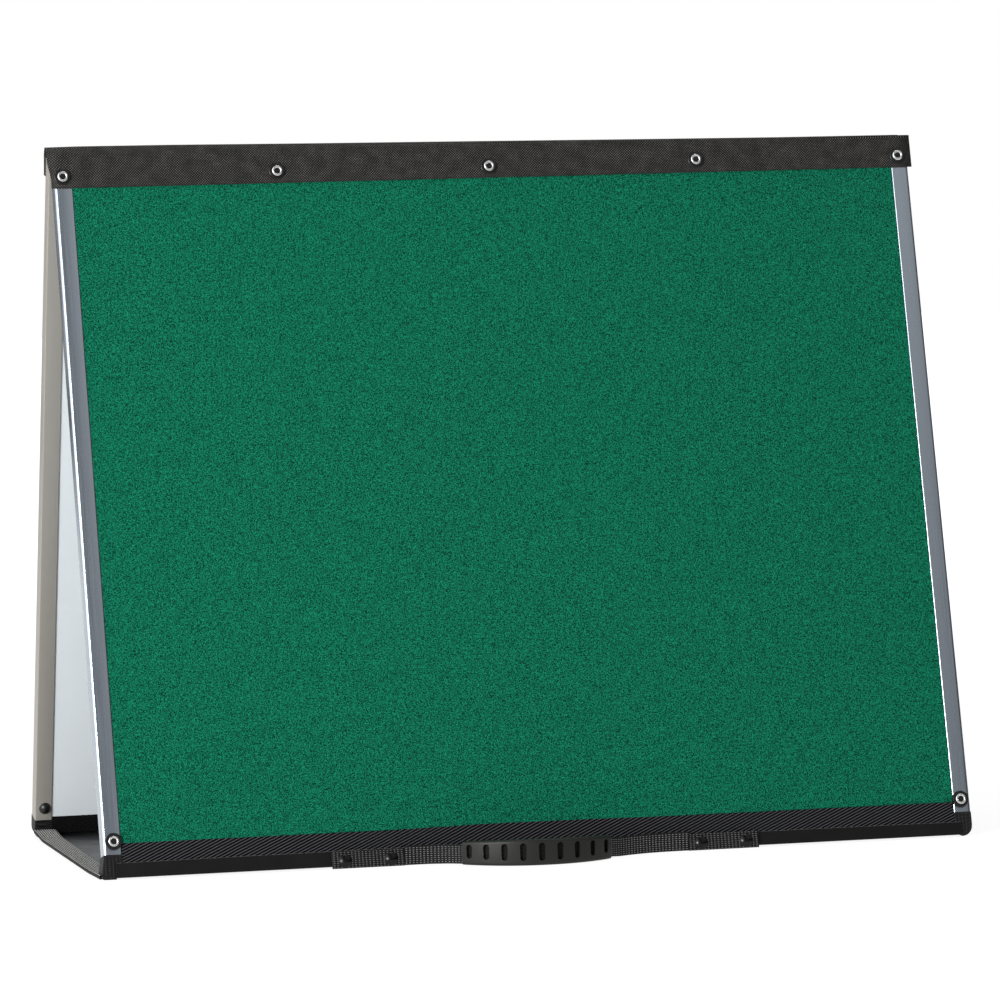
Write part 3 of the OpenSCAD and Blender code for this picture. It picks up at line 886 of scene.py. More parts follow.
@dataclass
class EdgeTrims:
    """Aluminium channels over the panel's two side edges."""

    panel: Panel
    paint: Paintbox
    wall: float = 1.0 * MM
    fit: float = 0.1 * MM
    leg: float = 12 * MM
    lip: float = 0.5 * MM
    drop: float = 0.25 * MM
    corner: float = 2.0 * MM
    rear_corner: float = 0.5 * MM
    web_corner: float = 0.8 * MM
    lip_corner: float = 0.15 * MM
    lip_end: float = 0.1 * MM
    stride: float = 60 * MM

    def section(self) -> list[tuple[float, float]]:
        """Draws the channel's section.

        Returns:
            Points of the distance in from the side and the depth v.
        """
        face, back = -self.wall - self.fit, self.panel.slab + self.wall + self.fit
        low, high = -self.fit, self.panel.slab + self.fit
        corners = [(0, face), (self.leg - self.lip, face), (self.leg, face + self.drop),
                   (self.leg, low), (self.wall, low), (self.wall, high), (self.leg, high),
                   (self.leg, back - self.drop), (self.leg - self.lip, back), (0, back)]
        last = self.rear_corner if self.panel.rear else self.corner
        web, lip, end = self.web_corner, self.lip_corner, self.lip_end
        return rounded_outline(corners,
                               [self.corner, lip, end, 0, web, web, 0, end, lip, last])

    def build(self) -> None:
        """Makes both channels in place of the plain ones."""
        panel = self.panel
        # The back board's channels take a darker, warmer copy of the aluminium: painted shade
        # and warm reflection.
        skin = Surface.SHADED_REAR_TRIM if panel.rear else Surface.TRIM
        for side, word in ((-1, "left"), (1, "right")):
            work = Patchwork()
            work.tube(self.section(), steps(panel.trim_lift, panel.height, self.stride),
                      lambda s, p: panel.at(side * (panel.half - p[0]), p[1], s))
            piece = work.finish(f"{panel.tag}_channel_{word}", self.paint.get(skin), 50)
            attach(piece, panel.body)
            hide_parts(f"{panel.tag}_trim_{word}")
            log.info("built %s", piece.name)


@dataclass
class TapeWrap:
    """Twill tape bound over the panel's bottom edge, with its edge a little uneven."""

    panel: Panel
    paint: Paintbox
    thick: float = 1.0 * MM
    half: float = 292.7 * MM
    inner_top: float = 15 * MM
    selvedge: float = 0.35 * MM
    fold: float = 0.9 * MM
    stride: float = 12 * MM
    # Places along the tape and how far its top edge wanders there, both in millimetres.
    waver: Sequence[tuple[float, float]] = ((-290, 0.3), (-200, 0.2), (-110, 0.0),
                                            (-40, 1.2), (30, 0.9), (90, 0.1), (290, -0.2))

    def build(self) -> None:
        """Makes the tape as one wrapped strip."""
        p = self.panel
        far = p.slab + self.thick
        work = Patchwork()

        def outline(x: float) -> list[tuple[float, float]]:
            """Draws the tape's section.

            Args:
                x: Place along the tape.

            Returns:
                Points of depth and height.
            """
            top = p.twill_top + table_value(self.waver, x / MM) * MM
            corners = [(0, top), (-self.thick, top),
                       (-self.thick, p.level(-self.thick, self.thick)),
                       (far, p.level(far, self.thick)), (far, self.inner_top),
                       (p.slab, self.inner_top), (p.slab, p.level(p.slab)), (0, 0)]
            return rounded_outline(corners, [0, self.selvedge, self.fold, self.fold,
                                             self.selvedge, 0, 0, 0])

        work.loft(outline, steps(-self.half, self.half, self.stride),
                  lambda s, q: p.at(s, *q))
        # The back board's tape takes the twill copy with painted shade.
        cloth = Surface.SHADED_FINE_TWILL if p.rear else Surface.TWILL
        piece = work.finish(f"{p.tag}_twill_tape", self.paint.get(cloth), 50)
        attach(piece, p.body)
        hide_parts(f"{p.tag}_binding")
        log.info("built %s", piece.name)


@dataclass
class KickStrip:
    """The base sheet's edge, turned up over the twill on the outer face."""

    panel: Panel
    paint: Paintbox
    node: str
    top: float
    inside: float = 1.0 * MM
    thick: float = 1.0 * MM
    half: float = 297 * MM
    edge: float = 0.4 * MM
    fold: float = 0.8 * MM
    crease: float = 0.2 * MM
    stride: float = 12 * MM
    # A face gets the pale painted highlight of the top edge where it looks up this much and lies
    # this high.
    highlight_facing: float = 0.6
    highlight_height: float = 4 * MM
    # Places along the strip and how far its top edge wanders there, both in millimetres.
    waver: Sequence[tuple[float, float]] = ((-297, 0.3), (-220, 0.6), (-120, 1.0), (0, 0.6),
                                            (150, -0.3), (240, -0.6), (297, -0.8))

    def build(self) -> None:
        """Makes the strip with a rounded fold at the bottom."""
        p = self.panel
        out = self.inside + self.thick
        work = Patchwork()

        def outline(x: float) -> list[tuple[float, float]]:
            """Draws the strip's section.

            Args:
                x: Place along the strip.

            Returns:
                Points of depth and height.
            """
            top = self.top + table_value(self.waver, x / MM) * MM
            corners = [(-self.inside, top), (-out, top), (-out, p.level(-out, out)),
                       (p.slab, p.level(p.slab, out)), (p.slab, p.level(p.slab, self.inside)),
                       (-self.inside, p.level(-self.inside, self.inside))]
            return rounded_outline(corners, [0, self.edge, self.fold, 0, 0, self.crease])

        work.loft(outline, steps(-self.half, self.half, self.stride),
                  lambda s, q: p.at(s, *q))
        piece = work.finish(f"{p.tag}_turned_up_strip", self.paint.get(Surface.VINYL), 50)
        # The strip's top edge, where it looks up, is painted pale as a highlight.
        piece.data.materials.append(self.paint.get(Surface.EDGE_HIGHLIGHT))
        up = Vector(p.at(0, 0, 1)) - Vector(p.at(0, 0, 0))
        for face in piece.data.polygons:
            if face.normal.dot(up) > self.highlight_facing \
                    and face.center.z > p.foot_z + self.highlight_height:
                face.material_index = 1
        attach(piece, p.body)
        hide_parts(self.node)
        log.info("built %s", piece.name)


@dataclass
class Rivets:
    """Tubular rivets with ring heads, their washers, and the domed caps inside."""

    panel: Panel
    paint: Paintbox
    spine_u: float
    corner_u: float
    reach: float = 298 * MM
    spine_count: int = 5
    spine_face: float = -2.1 * MM
    trim_face: float = -1.1 * MM
    trim_back: float = 13.1 * MM
    washer_r: float = 5.9 * MM
    spine_washer: float = 0.8 * MM
    corner_washer: float = 2.0 * MM
    ring_r: float = 3.7 * MM
    hole_r: float = 2.0 * MM
    cap_r: float = 4.3 * MM
    cap_h: float = 3.0 * MM
    # How far each rivet of the spine was set off its place, along and up, in millimetres.
    nudges: Sequence[tuple[float, float]] = ((0, 0), (0, 0), (0, 0), (0, 0), (0, 0))

    def ring_head(self) -> bpy.types.Mesh:
        """Makes the rolled ring head with its deep dark hole.

        Returns:
            The head, with its seat at height 0.
        """
        mid, roll = (self.ring_r + self.hole_r) / 2, (self.ring_r - self.hole_r) / 2
        arc = [(mid + roll * math.cos(a), roll * 0.95 * math.sin(a))
               for a in [math.pi * k / 10 for k in range(11)]]
        return lathe([(0, -0.55 * MM), (0.9 * MM, -0.65 * MM), (1.5 * MM, -1.0 * MM),
                      (self.hole_r, -1.3 * MM)] + arc[::-1]
                     + [(self.ring_r, -0.25 * MM), (0, -1.5 * MM)])

    def disc(self, thick: float) -> bpy.types.Mesh:
        """Makes a washer with a rolled rim.

        Args:
            thick: Its thickness.

        Returns:
            The washer, with its seat at height 0.
        """
        r = self.washer_r
        return lathe([(0, 0), (r, 0), (r, thick * 0.55), (r - 0.18 * MM, thick * 0.85),
                      (r - 0.5 * MM, thick), (0, thick)])

    def cap(self) -> bpy.types.Mesh:
        """Makes the domed cap that covers a corner rivet inside."""
        arc = dome_arc(self.cap_r, self.cap_h, 10)
        return lathe(arc + [(0, arc[-1][1])])

    def build(self) -> None:
        """Sets every rivet, washer and cap of the panel."""
        p, paint = self.panel, self.paint
        spine_x = [-self.reach + 2 * self.reach * i / (self.spine_count - 1)
                   for i in range(self.spine_count)]
        heads = [(x + a * MM, self.spine_u + b * MM)
                 for x, (a, b) in zip(spine_x, self.nudges)]
        corner_x = [-self.reach, self.reach]
        flip = Matrix.Rotation(math.pi, 4, "X")
        jobs = [
            ("spine_rivets", self.ring_head(), Surface.NICKEL, "bright_rivet",
             [p.spot(x, self.spine_face - self.spine_washer, u) for x, u in heads]),
            ("spine_washers", self.disc(self.spine_washer), Surface.WASHER, "black_plastic",
             [p.spot(x, self.spine_face, u) for x, u in heads]),
            ("corner_rivets", self.ring_head(), Surface.NICKEL, "bright_rivet",
             [p.spot(x, self.trim_face - self.corner_washer, self.corner_u)
              for x in corner_x]),
            ("corner_washers", self.disc(self.corner_washer), Surface.WASHER, "black_plastic",
             [p.spot(x, self.trim_face, self.corner_u) for x in corner_x]),
            ("corner_caps", self.cap(), Surface.WASHER, "black_plastic",
             [p.spot(x, self.trim_back, self.corner_u) @ flip for x in corner_x]),
        ]
        for word, shape, surface, slot, spots in jobs:
            piece = Stamp(f"{p.tag}_{word}_set", shape, paint.get(surface)).place(spots)
            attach(piece, p.body)
            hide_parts(f"{word}_{p.tag}")
            log.info("set %d of %s", len(spots), piece.name)


@dataclass
class SpineStrip:
    """One strip of coated fabric that hinges the panels along their top edges."""

    front: Panel
    rear: Panel
    paint: Paintbox
    front_flap: float = 22 * MM
    rear_flap: float = 20.5 * MM
    left: float = -307.5 * MM
    right: float = 307.5 * MM
    face: float = -1.1 * MM
    thick: float = 1.0 * MM
    stride: float = 8 * MM
    row: float = 2.5 * MM
    flap_end: float = 0.5 * MM
    # Shares of the way over the gap at which the fabric is drawn, close at its two edges.
    bends: Sequence[float] = (0.0, 0.01, 0.035, 0.08, 0.16, 0.27, 0.38, 0.5, 0.62, 0.73, 0.84,
                              0.92, 0.965, 0.99, 1.0)
    edge_share: float = 0.08
    edge_drop: float = 1.3 * MM
    sag: float = 1.2 * MM
    # Places along the spine and how high it stands off the panels there, in millimetres.
    puff: Sequence[tuple[float, float]] = ((-308, 6.0), (-285, 6.3), (-220, 5.8), (-120, 4.4),
                                           (0, 3.0), (120, 1.5), (220, 0.4), (308, 0.02))
    skew: float = 2.0 * MM
    flare: float = 2.6 * MM
    cut: float = 7.0 * MM
    # The left end starts this far out and reaches its full flare and cut in this length.
    tip_start: float = 296 * MM
    tip_run: float = 11.5 * MM
    # Each pair is a distance along the fabric and the run over which a change sets in.
    flare_grows: tuple[float, float] = (4 * MM, 17 * MM)
    flare_fades: tuple[float, float] = (25 * MM, 20 * MM)
    cut_grows: tuple[float, float] = (6.5 * MM, 3 * MM)
    hinge_reach: float = 9 * MM

    def course(self, x: float) -> list[tuple[float, float, float]]:
        """Gives the strip's outer line at x, from the front flap's edge to the rear's.

        Args:
            x: Place along the easel.

        Returns:
            Points at even steps along the fabric.
        """
        lift = table_value(self.puff, x / MM) * MM
        out, high = self.face - self.thick, self.front.height + self.thick
        flat = [(out, self.front.height - self.front_flap + s)
                for s in steps(0, self.front_flap - self.flap_end, self.row)]
        rise = max(0.0, lift)
        upper = [(out - 0.35 * MM * min(1, rise / (3 * MM)), high - 0.4 * MM),
                 (out + 0.04 * rise, high + 0.3 * rise - 0.3 * MM),
                 (out + 0.12 * rise, high + 0.65 * rise - 0.4 * MM)]
        line = [self.front.at(x, v, u) for v, u in flat + upper[:1 + 2 * (rise > 0)]]
        start = Vector(self.front.at(x, out + 0.2 * rise, high + lift))
        end = Vector(self.rear.at(x, out + 0.2 * rise, high + lift))
        for t in self.bends:
            point = start.lerp(end, t)
            edge = min(t, 1 - t) / self.edge_share
            drop = (1 - math.sqrt(max(0.0, 1 - (1 - edge) ** 2))) if edge < 1 else 0.0
            sag = self.sag * (0.5 - 0.5 * math.cos(2 * math.pi * t))
            line.append((x, point.y, point.z - self.edge_drop * drop - sag))
        if rise > 0:
            line += [self.rear.at(x, v, u) for v, u in reversed(upper)]
        else:
            line.append(self.rear.at(x, *upper[0]))
        line += [self.rear.at(x, out, self.rear.height - self.rear_flap + s)
                 for s in reversed(steps(0, self.rear_flap - self.flap_end, self.row))]
        return line

    def build(self) -> None:
        """Makes the strip and thickens it inwards."""
        xs = steps(self.left, self.right, self.stride)
        lines = {x: self.course(x) for x in xs}
        along = running_length(lines[xs[len(xs) // 2]])
        index = {s: i for i, s in enumerate(along)}
        work = Patchwork()

        def lie(x: float, s: float) -> tuple[float, float, float]:
            """Flares the fabric's left end in front and cuts it short behind.

            Args:
                x: Place along the easel.
                s: Distance along the fabric from the front flap's edge.

            Returns:
                The fabric's point.
            """
            spot = lines[x][index[s]]
            tip = min(1.0, max(0.0, (-x - self.tip_start) / self.tip_run))
            short = self.skew * s / along[-1] * max(0.0, x / self.left)
            (out, out_run), (back, back_run) = self.flare_grows, self.flare_fades
            flare = smoothstep((s - out) / out_run) * (1 - smoothstep((s - back) / back_run))
            cut = smoothstep((s - along[-1] + self.cut_grows[0]) / self.cut_grows[1])
            return (spot[0] + short + (self.cut * cut - self.flare * flare) * tip,
                    spot[1], spot[2])

        work.grid(xs, along, lie)
        runs = {x: running_length(line) for x, line in lines.items()}
        work.cloth = [[(x, runs[x][index[s]]) for x, s in face] for face in work.cloth]
        piece = work.finish("spine_fabric", self.paint.get(Surface.SPINE), 60)
        solid = piece.modifiers.new("Thickness", "SOLIDIFY")
        solid.thickness, solid.offset = 0.9 * self.thick, -1.0
        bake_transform(piece)
        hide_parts("spine_front", "spine_rear")
        log.info("built %s, %.1f mm across", piece.name, along[-1] / MM)


@dataclass
class Boots:
    """Webbing folded round the panel's two bottom corners, with its ribs upright."""

    panel: Panel
    paint: Paintbox
    width: float = 12.2 * MM
    outer_width: float = 7.7 * MM
    thick: float = 1.0 * MM
    drop: float = 3.0 * MM
    rounding: tuple[float, float] = (1.5 * MM, 7.0 * MM)
    swell: tuple[float, float] = (0.0, 0.0)
    swell_run: float = 9 * MM
    lowest: float = -9 * MM
    rim: float = 0.3 * MM
    fold: float = 0.9 * MM
    inner_fold: float = 0.8 * MM
    columns: Sequence[float] = (0, 0.3 * MM, 0.8 * MM, 1.6 * MM, 2.8 * MM, 4.2 * MM, 6 * MM,
                                7.7 * MM)
    pitch: float = 2.5 * MM
    ribs: int = 5
    first_rib: float = 1.2 * MM
    rib_long: float = 13 * MM
    rib_wide: float = 1.9 * MM
    rib_high: float = 0.4 * MM

    def low_edge(self, side: int, x: float) -> float:
        """Gives the height of a boot's rounded bottom.

        Args:
            side: -1 for the left boot, 1 for the right.
            x: Distance in from its side.

        Returns:
            The height up the outer face.
        """
        r = self.rounding[side > 0]
        if x >= r:
            return -self.drop
        return -self.drop + r - math.sqrt(r ** 2 - (r - x) ** 2)

    def build(self) -> None:
        """Makes both boots."""
        p = self.panel
        top = p.trim_lift - 0.02 * MM
        far = p.slab + self.thick
        for side, word in ((-1, "left"), (1, "right")):
            work = Patchwork()

            def ring(x: float) -> list[tuple[float, float]]:
                """Draws the boot's section across the board.

                Args:
                    x: Distance in from its side.

                Returns:
                    Points of depth and height.
                """
                low = self.low_edge(side, x)
                lows = [max(p.level(v, -low), self.lowest) for v in (-self.thick, far)]
                return rounded_outline([(-self.thick, top), (-self.thick, lows[0]),
                                        (far, lows[1]), (far, top)],
                                       [self.rim, self.fold, self.fold, self.rim])

            def lie(s: float, q: tuple[float, float]) -> tuple[float, float, float]:
                """Swells the boot's side a little towards the bottom.

                Args:
                    s: Distance in from its side.
                    q: Point of its section.

                Returns:
                    The boot's point.
                """
                out = self.swell[side > 0] * (1 - s / self.outer_width) \
                    * smoothstep((top - q[1]) / self.swell_run)
                return p.at(side * (p.half - s + out), *q)

            work.loft(ring, self.columns, lie)
            inner = [(-self.thick, top), (-self.thick, p.level(-self.thick, self.thick)),
                     (far, p.level(far, self.thick)), (far, top), (p.slab, top),
                     (p.slab, p.level(p.slab)), (0, 0), (0, top)]
            radii = [self.rim, self.inner_fold, self.inner_fold, self.rim, 0, 0, 0, 0]
            work.tube(rounded_outline(inner, radii), [self.outer_width, 10 * MM, self.width],
                      lambda s, q: p.at(side * (p.half - s), *q))
            piece = work.finish(f"{p.tag}_corner_boot_{word}",
                                self.paint.get(Surface.BOOT), 45)
            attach(piece, p.body)
            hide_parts(f"corner_boot_{p.tag}_{word}")
            yarn = rib_mesh(self.rib_long, self.rib_wide, self.rib_high)
            rows = Stamp(f"{p.tag}_boot_ribs_{word}", yarn,
                         self.paint.get(Surface.BOOT)).place(self.rib_spots(side, top))
            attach(rows, p.body)
            log.info("built %s", piece.name)

    def rib_spots(self, side: int, top: float) -> list[Matrix]:
        """Finds places for the ribs that fit between a boot's top and its round bottom.

        Args:
            side: -1 for the left boot, 1 for the right.
            top: Height of the boot's top up the outer face.

        Returns:
            Each rib's place and turn.
        """
        p = self.panel
        turned = p.spot(0, 0, 0).to_3x3().to_4x4()
        spots = []
        for k in range(self.ribs):
            x = self.first_rib + k * self.pitch
            near = max(0.0, x - self.rib_wide / 2)
            outside = x < self.outer_width
            low = p.level(-self.thick, -self.low_edge(side, near) if outside else self.thick)
            if outside and top - low < self.rib_long:
                continue
            spot = Matrix.Translation(p.at(side * (p.half - x), -self.thick, (top + low) / 2))
            spots.append(spot @ turned)
        return spots


@dataclass
class BaseSheet:
    """Limp vinyl between the panels' feet, with a webbing tape folded over each side."""

    front: Panel
    rear: Panel
    paint: Paintbox
    reach: float = 126.8 * MM
    half: float = 305 * MM
    skew: tuple[float, float] = (3.0 * MM, 0.5 * MM)
    tape: float = 15 * MM
    thick: float = 1.0 * MM
    pitch: float = 2.5 * MM
    stride: float = 8 * MM
    columns: int = 60
    # The left side bulges more towards the front, less again from here, over this run.
    bulge: float = 2.0 * MM
    bulge_loss: float = 0.8
    bulge_fades: tuple[float, float] = (95 * MM, 40 * MM)
    # The slack's height, its wave's length over 2 pi, and how far and in what length that
    # wave wanders.
    slack: float = 1.1 * MM
    slack_wave: float = 58 * MM
    slack_wander: tuple[float, float] = (1.7, 90 * MM)
    # The rear end of the left tape stands off the table, from here, over this run.
    stand: float = 2.2 * MM
    stand_grows: tuple[float, float] = (88 * MM, 36 * MM)
    # Between the tapes the sheet reaches a little further under the panels.
    reach_gain: float = 0.022
    gain_run: float = 2 * MM
    bare_run: float = 6 * MM
    # The outer edge of the left tape runs on in front of the boot, from here, over this run.
    tuck: float = 11 * MM
    tuck_grows: tuple[float, float] = (112 * MM, 14.8 * MM)
    tuck_wide: float = 4 * MM
    fold: float = 1.2 * MM
    selvedge: float = 0.3 * MM
    rib_long: float = 14 * MM
    rib_wide: float = 1.9 * MM
    rib_high: float = 0.4 * MM
    rib_margins: tuple[float, float] = (1.5 * MM, 3.5 * MM)
    hinge_inset: float = 6 * MM

    def edge(self, side: int, inset: float, y: float) -> float:
        """Gives the run of the sheet's sides.

        Args:
            side: -1 for the left side, 1 for the right.
            inset: Distance in from that side.
            y: Depth in the easel's frame.

        Returns:
            The x there.
        """
        t = (y + self.reach) / (2 * self.reach)
        bulge = self.bulge * (1 - t) if side < 0 else 0.0
        start, run = self.bulge_fades
        bulge *= 1 - self.bulge_loss * smoothstep((-y - start) / run)
        shift = self.skew[0] + (self.skew[1] - self.skew[0]) * t
        return side * (self.half - inset) - shift - bulge

    def ripple(self, x: float, y: float) -> float:
        """Gives the small height of the sheet's slack above the table.

        Args:
            x: Place along the easel.
            y: Depth in the easel's frame.

        Returns:
            The height, which fades out at the panels' feet.
        """
        turns, length = self.slack_wander
        wave = math.sin(x / self.slack_wave + turns * math.sin(y / length))
        return (0.5 + 0.5 * wave) * self.slack * (1 - (y / self.reach) ** 6)

    def rise(self, side: int, y: float) -> float:
        """Gives how far a side tape stands off the table near the rear left boot.

        Args:
            side: -1 for the left tape, 1 for the right.
            y: Depth in the easel's frame.

        Returns:
            The height.
        """
        start, run = self.stand_grows
        return self.stand * smoothstep((y - start) / run) if side < 0 else 0.0

    def build(self) -> None:
        """Makes the sheet, its two side tapes and their ribs."""
        ends = ((0, -self.reach + self.hinge_inset, 0), (0, self.reach - self.hinge_inset, 0))
        ys = steps(-self.reach, self.reach, self.stride)
        sheet = self.sheet(ys, ends)
        tapes = []
        for side, word in ((-1, "left"), (1, "right")):
            tape, rows = self.side_tape(side, word, ys)
            for thing in (tape, rows):
                self.front.body
                self.rear.body
                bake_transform(thing)
            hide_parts(f"base_tape_{word}")
            tapes += [tape, rows]

    def sheet(self, ys: Sequence[float], ends: Sequence[tuple[float, float, float]]
              ) -> bpy.types.Object:
        """Makes the vinyl sheet.

        Args:
            ys: Depths of its rows.
            ends: Where its front and rear bodies were to take hold. Not used.

        Returns:
            The sheet.
        """
        work = Patchwork()

        def lie(t: float, y: float) -> tuple[float, float, float]:
            """Lays a point of the sheet on the table, lifting it into the tapes.

            Args:
                t: Share of the way from its left side to its right.
                y: Depth in the easel's frame.

            Returns:
                The sheet's point.
            """
            left, right = self.edge(-1, self.thick, y), self.edge(1, self.thick, y)
            x = left + (right - left) * t
            side = min(x - left, right - x)
            bare = smoothstep((side - self.tape) / self.bare_run)
            reach = y * (1 + self.reach_gain * smoothstep((side - self.tape) / self.gain_run))
            return (x, reach, self.thick * (2 - bare) + self.ripple(x, y) * bare)

        work.grid(steps(0, 1, 1 / self.columns), ys, lie)
        scale = 2 * self.half
        work.cloth = [[(u * scale, v) for u, v in face] for face in work.cloth]
        piece = work.finish("base_vinyl", self.paint.get(Surface.BASE_VINYL), 60)
        solid = piece.modifiers.new("Thickness", "SOLIDIFY")
        solid.thickness, solid.offset = 0.9 * self.thick, -1.0
        self.front.body
        self.rear.body
        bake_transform(piece)
        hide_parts("base_sheet")
        log.info("built %s", piece.name)
        return piece

    def side_tape(self, side: int, word: str, ys: Sequence[float]
                  ) -> tuple[bpy.types.Object, bpy.types.Object]:
        """Makes one side tape and its ribs.

        Args:
            side: -1 for the left tape, 1 for the right.
            word: The side's name.
            ys: Depths of its rows.

        Returns:
            The tape and its ribs.
        """
        top, wide, thick = 3 * self.thick, self.tape, self.thick
        flat = rounded_outline([(0, 0.0), (0, top), (wide, top), (wide, top - thick),
                                (thick, 2 * thick), (thick, thick), (wide, thick),
                                (wide, 0.0)],
                               [self.fold, self.fold, self.selvedge, 0, 0, 0, 0,
                                self.selvedge])

        def lie(s: float, q: tuple[float, float]) -> tuple[float, float, float]:
            """Runs the outer edge of the left tape on in front of the boot.

            Args:
                s: Depth in the easel's frame.
                q: Point of the tape's section.

            Returns:
                The tape's point.
            """
            start, run = self.tuck_grows
            ahead = self.tuck * smoothstep((-s - start) / run) \
                * (1 - smoothstep(q[0] / self.tuck_wide)) * (side < 0)
            return (self.edge(side, q[0], s), s - ahead, q[1] + self.rise(side, s))

        work = Patchwork()
        work.tube(flat, ys, lie)
        tape = work.finish(f"side_tape_{word}", self.paint.get(Surface.TAPE), 45)
        # Only faces that look up take the painted sheen; the tape's sides and underside get the
        # near-black ground.
        tape.data.materials.append(self.paint.get(Surface.GROUND))
        for face in tape.data.polygons:
            face.material_index = int(face.normal.z < 0.6)
        first, last = self.rib_margins
        turn = Matrix.Rotation(math.pi / 2, 4, "Z")
        spots = [Matrix.Translation((self.edge(side, wide / 2, s), s,
                                     top + self.rise(side, s))) @ turn
                 for s in steps(-self.reach + first, self.reach - last, self.pitch)]
        yarn = rib_mesh(self.rib_long, self.rib_wide, self.rib_high, 6)
        rows = Stamp(f"side_tape_ribs_{word}", yarn,
                     self.paint.get(Surface.TAPE)).place(spots)
        log.info("built %s with %d ribs", tape.name, len(spots))
        return tape, rows


@dataclass
class Handle:
    """Webbing carry handle: riveted strap ends, a loop and a moulded grip with slots."""

    panel: Panel
    paint: Paintbox
    body: str = "handle"
    root_y: float = -143.53462 * MM
    mid_z: float = 8.9 * MM
    strap_w: float = 13 * MM
    strap_t: float = 1.3 * MM
    strap_in: float = 100 * MM
    strap_long: float = 50 * MM
    strap_up: float = 2.4 * MM
    kick_face: float = -2.0 * MM
    pitch: float = 2.5 * MM
    grip_r: float = 70 * MM
    grip_x: float = -8 * MM
    grip_back: float = 33.5 * MM
    grip_left: float = 49.0
    grip_right: float = 40.0
    grip_t: float = 6.6 * MM
    grip_h: float = 17.8 * MM
    slots: int = 9
    slot_w: float = 4.4 * MM
    slot_heights: tuple[float, float] = (9.4 * MM, 12.2 * MM)
    slot_margin: float = 5.5 * MM
    slot_lift: float = 0.4 * MM
    slot_deep: float = 8 * MM
    slot_sides: int = 16
    grip_corner: float = 2.2 * MM
    grip_turn: float = 1.5
    # How much lower the grip is at its left and right ends than in the middle.
    taper: tuple[float, float] = (0.11, 0.1)
    hollow_gap: float = 0.25 * MM
    soft_edge: float = 0.35 * MM
    end_w: float = 11.5 * MM
    end_corner: float = 0.45 * MM
    end_margins: tuple[float, float] = (1.4 * MM, 1.6 * MM)
    loop_step: float = 3 * MM
    loop_corner: float = 0.4 * MM
    loop_margin: float = 1.2 * MM
    # Length, width and height of a rib on the strap ends and on the loop.
    end_rib: tuple[float, float, float] = (11.0 * MM, 1.4 * MM, 0.4 * MM)
    loop_rib: tuple[float, float, float] = (12.2 * MM, 1.4 * MM, 0.32 * MM)
    stud_r: float = 5.0 * MM
    stud_h: float = 2.4 * MM
    stud_seat: float = 0.3 * MM
    stud_x: float = 125 * MM
    stud_apart: float = 32 * MM
    stud_up: float = 2.2 * MM
    # The loop's bending starts and ends this far in front of its root.
    bend: tuple[float, float] = (0.5 * MM, 12 * MM)
    # Places along the loop and how far it hangs down there, both in millimetres.
    sink: Sequence[tuple[float, float]] = ((-100, -2.3), (-76, -2.3), (-60, -2.0), (-30, -0.6),
                                           (-10, 0.0), (20, 0.0), (36, -1.2), (48, -2.2),
                                           (100, -2.3))

    def middle_line(self) -> list[Vector]:
        """Draws the loop's middle line in plan.

        Returns:
            Its points, from the left strap end to the right.
        """
        left = [self.side_point(-1, s / 20) for s in range(21)]
        right = [self.side_point(1, s / 20) for s in reversed(range(21))]
        sweep = self.grip_left + self.grip_right
        arc = [self.grip_point(-self.grip_left + sweep * k / 40) for k in range(1, 40)]
        return left + arc + right

    def grip_point(self, turn: float, radius: float | None = None) -> Vector:
        """Gives a point of the grip's curve.

        Args:
            turn: Angle from straight ahead, in degrees.
            radius: Distance from the curve's centre, or None for the middle line's.

        Returns:
            The point in plan.
        """
        r = self.grip_r if radius is None else radius
        a = math.radians(turn)
        return Vector((self.grip_x + r * math.sin(a),
                       self.root_y + self.grip_back - r * math.cos(a)))

    def side_point(self, side: int, s: float) -> Vector:
        """Gives a point of the loop between a strap end and the grip.

        Args:
            side: -1 for the left side, 1 for the right.
            s: Share of the way to the grip.

        Returns:
            The point in plan.
        """
        a = math.radians(self.grip_left if side < 0 else self.grip_right)
        x0 = side * (self.strap_in - 0.3 * MM)
        x1 = self.grip_x + side * self.grip_r * math.sin(a)
        y0, y1 = self.root_y, self.root_y + self.grip_back - self.grip_r * math.cos(a)
        span, slope = x1 - x0, side * math.tan(a)
        return Vector((x0 + span * s, y0 + (y1 - y0) * s * s * (3 - 2 * s)
                       + slope * span * s * s * (s - 1)))

    def ribbon(self) -> None:
        """Makes the loop of webbing with upright ribs on both faces."""
        line = self.middle_line()
        run = [0.0]
        for a, b in zip(line, line[1:]):
            run.append(run[-1] + (b - a).length)

        def frame_at(s: float) -> tuple[Vector, Vector]:
            """Finds the loop's place and direction.

            Args:
                s: Distance along the loop.

            Returns:
                Both, in plan.
            """
            i = min(max(0, next((k for k, r in enumerate(run) if r >= s), 1) - 1),
                    len(line) - 2)
            t = (s - run[i]) / (run[i + 1] - run[i])
            return line[i].lerp(line[i + 1], t), (line[i + 1] - line[i]).normalized()

        def place(s: float, q: tuple[float, float]) -> tuple[float, float, float]:
            """Places the ribbon's section.

            Args:
                s: Distance along the loop.
                q: Point of the section.

            Returns:
                The ribbon's point.
            """
            spot, way = frame_at(s)
            low = table_value(self.sink, spot.x / MM) * MM
            return (spot.x - way.y * q[0], spot.y + way.x * q[0], self.mid_z + q[1] + low)

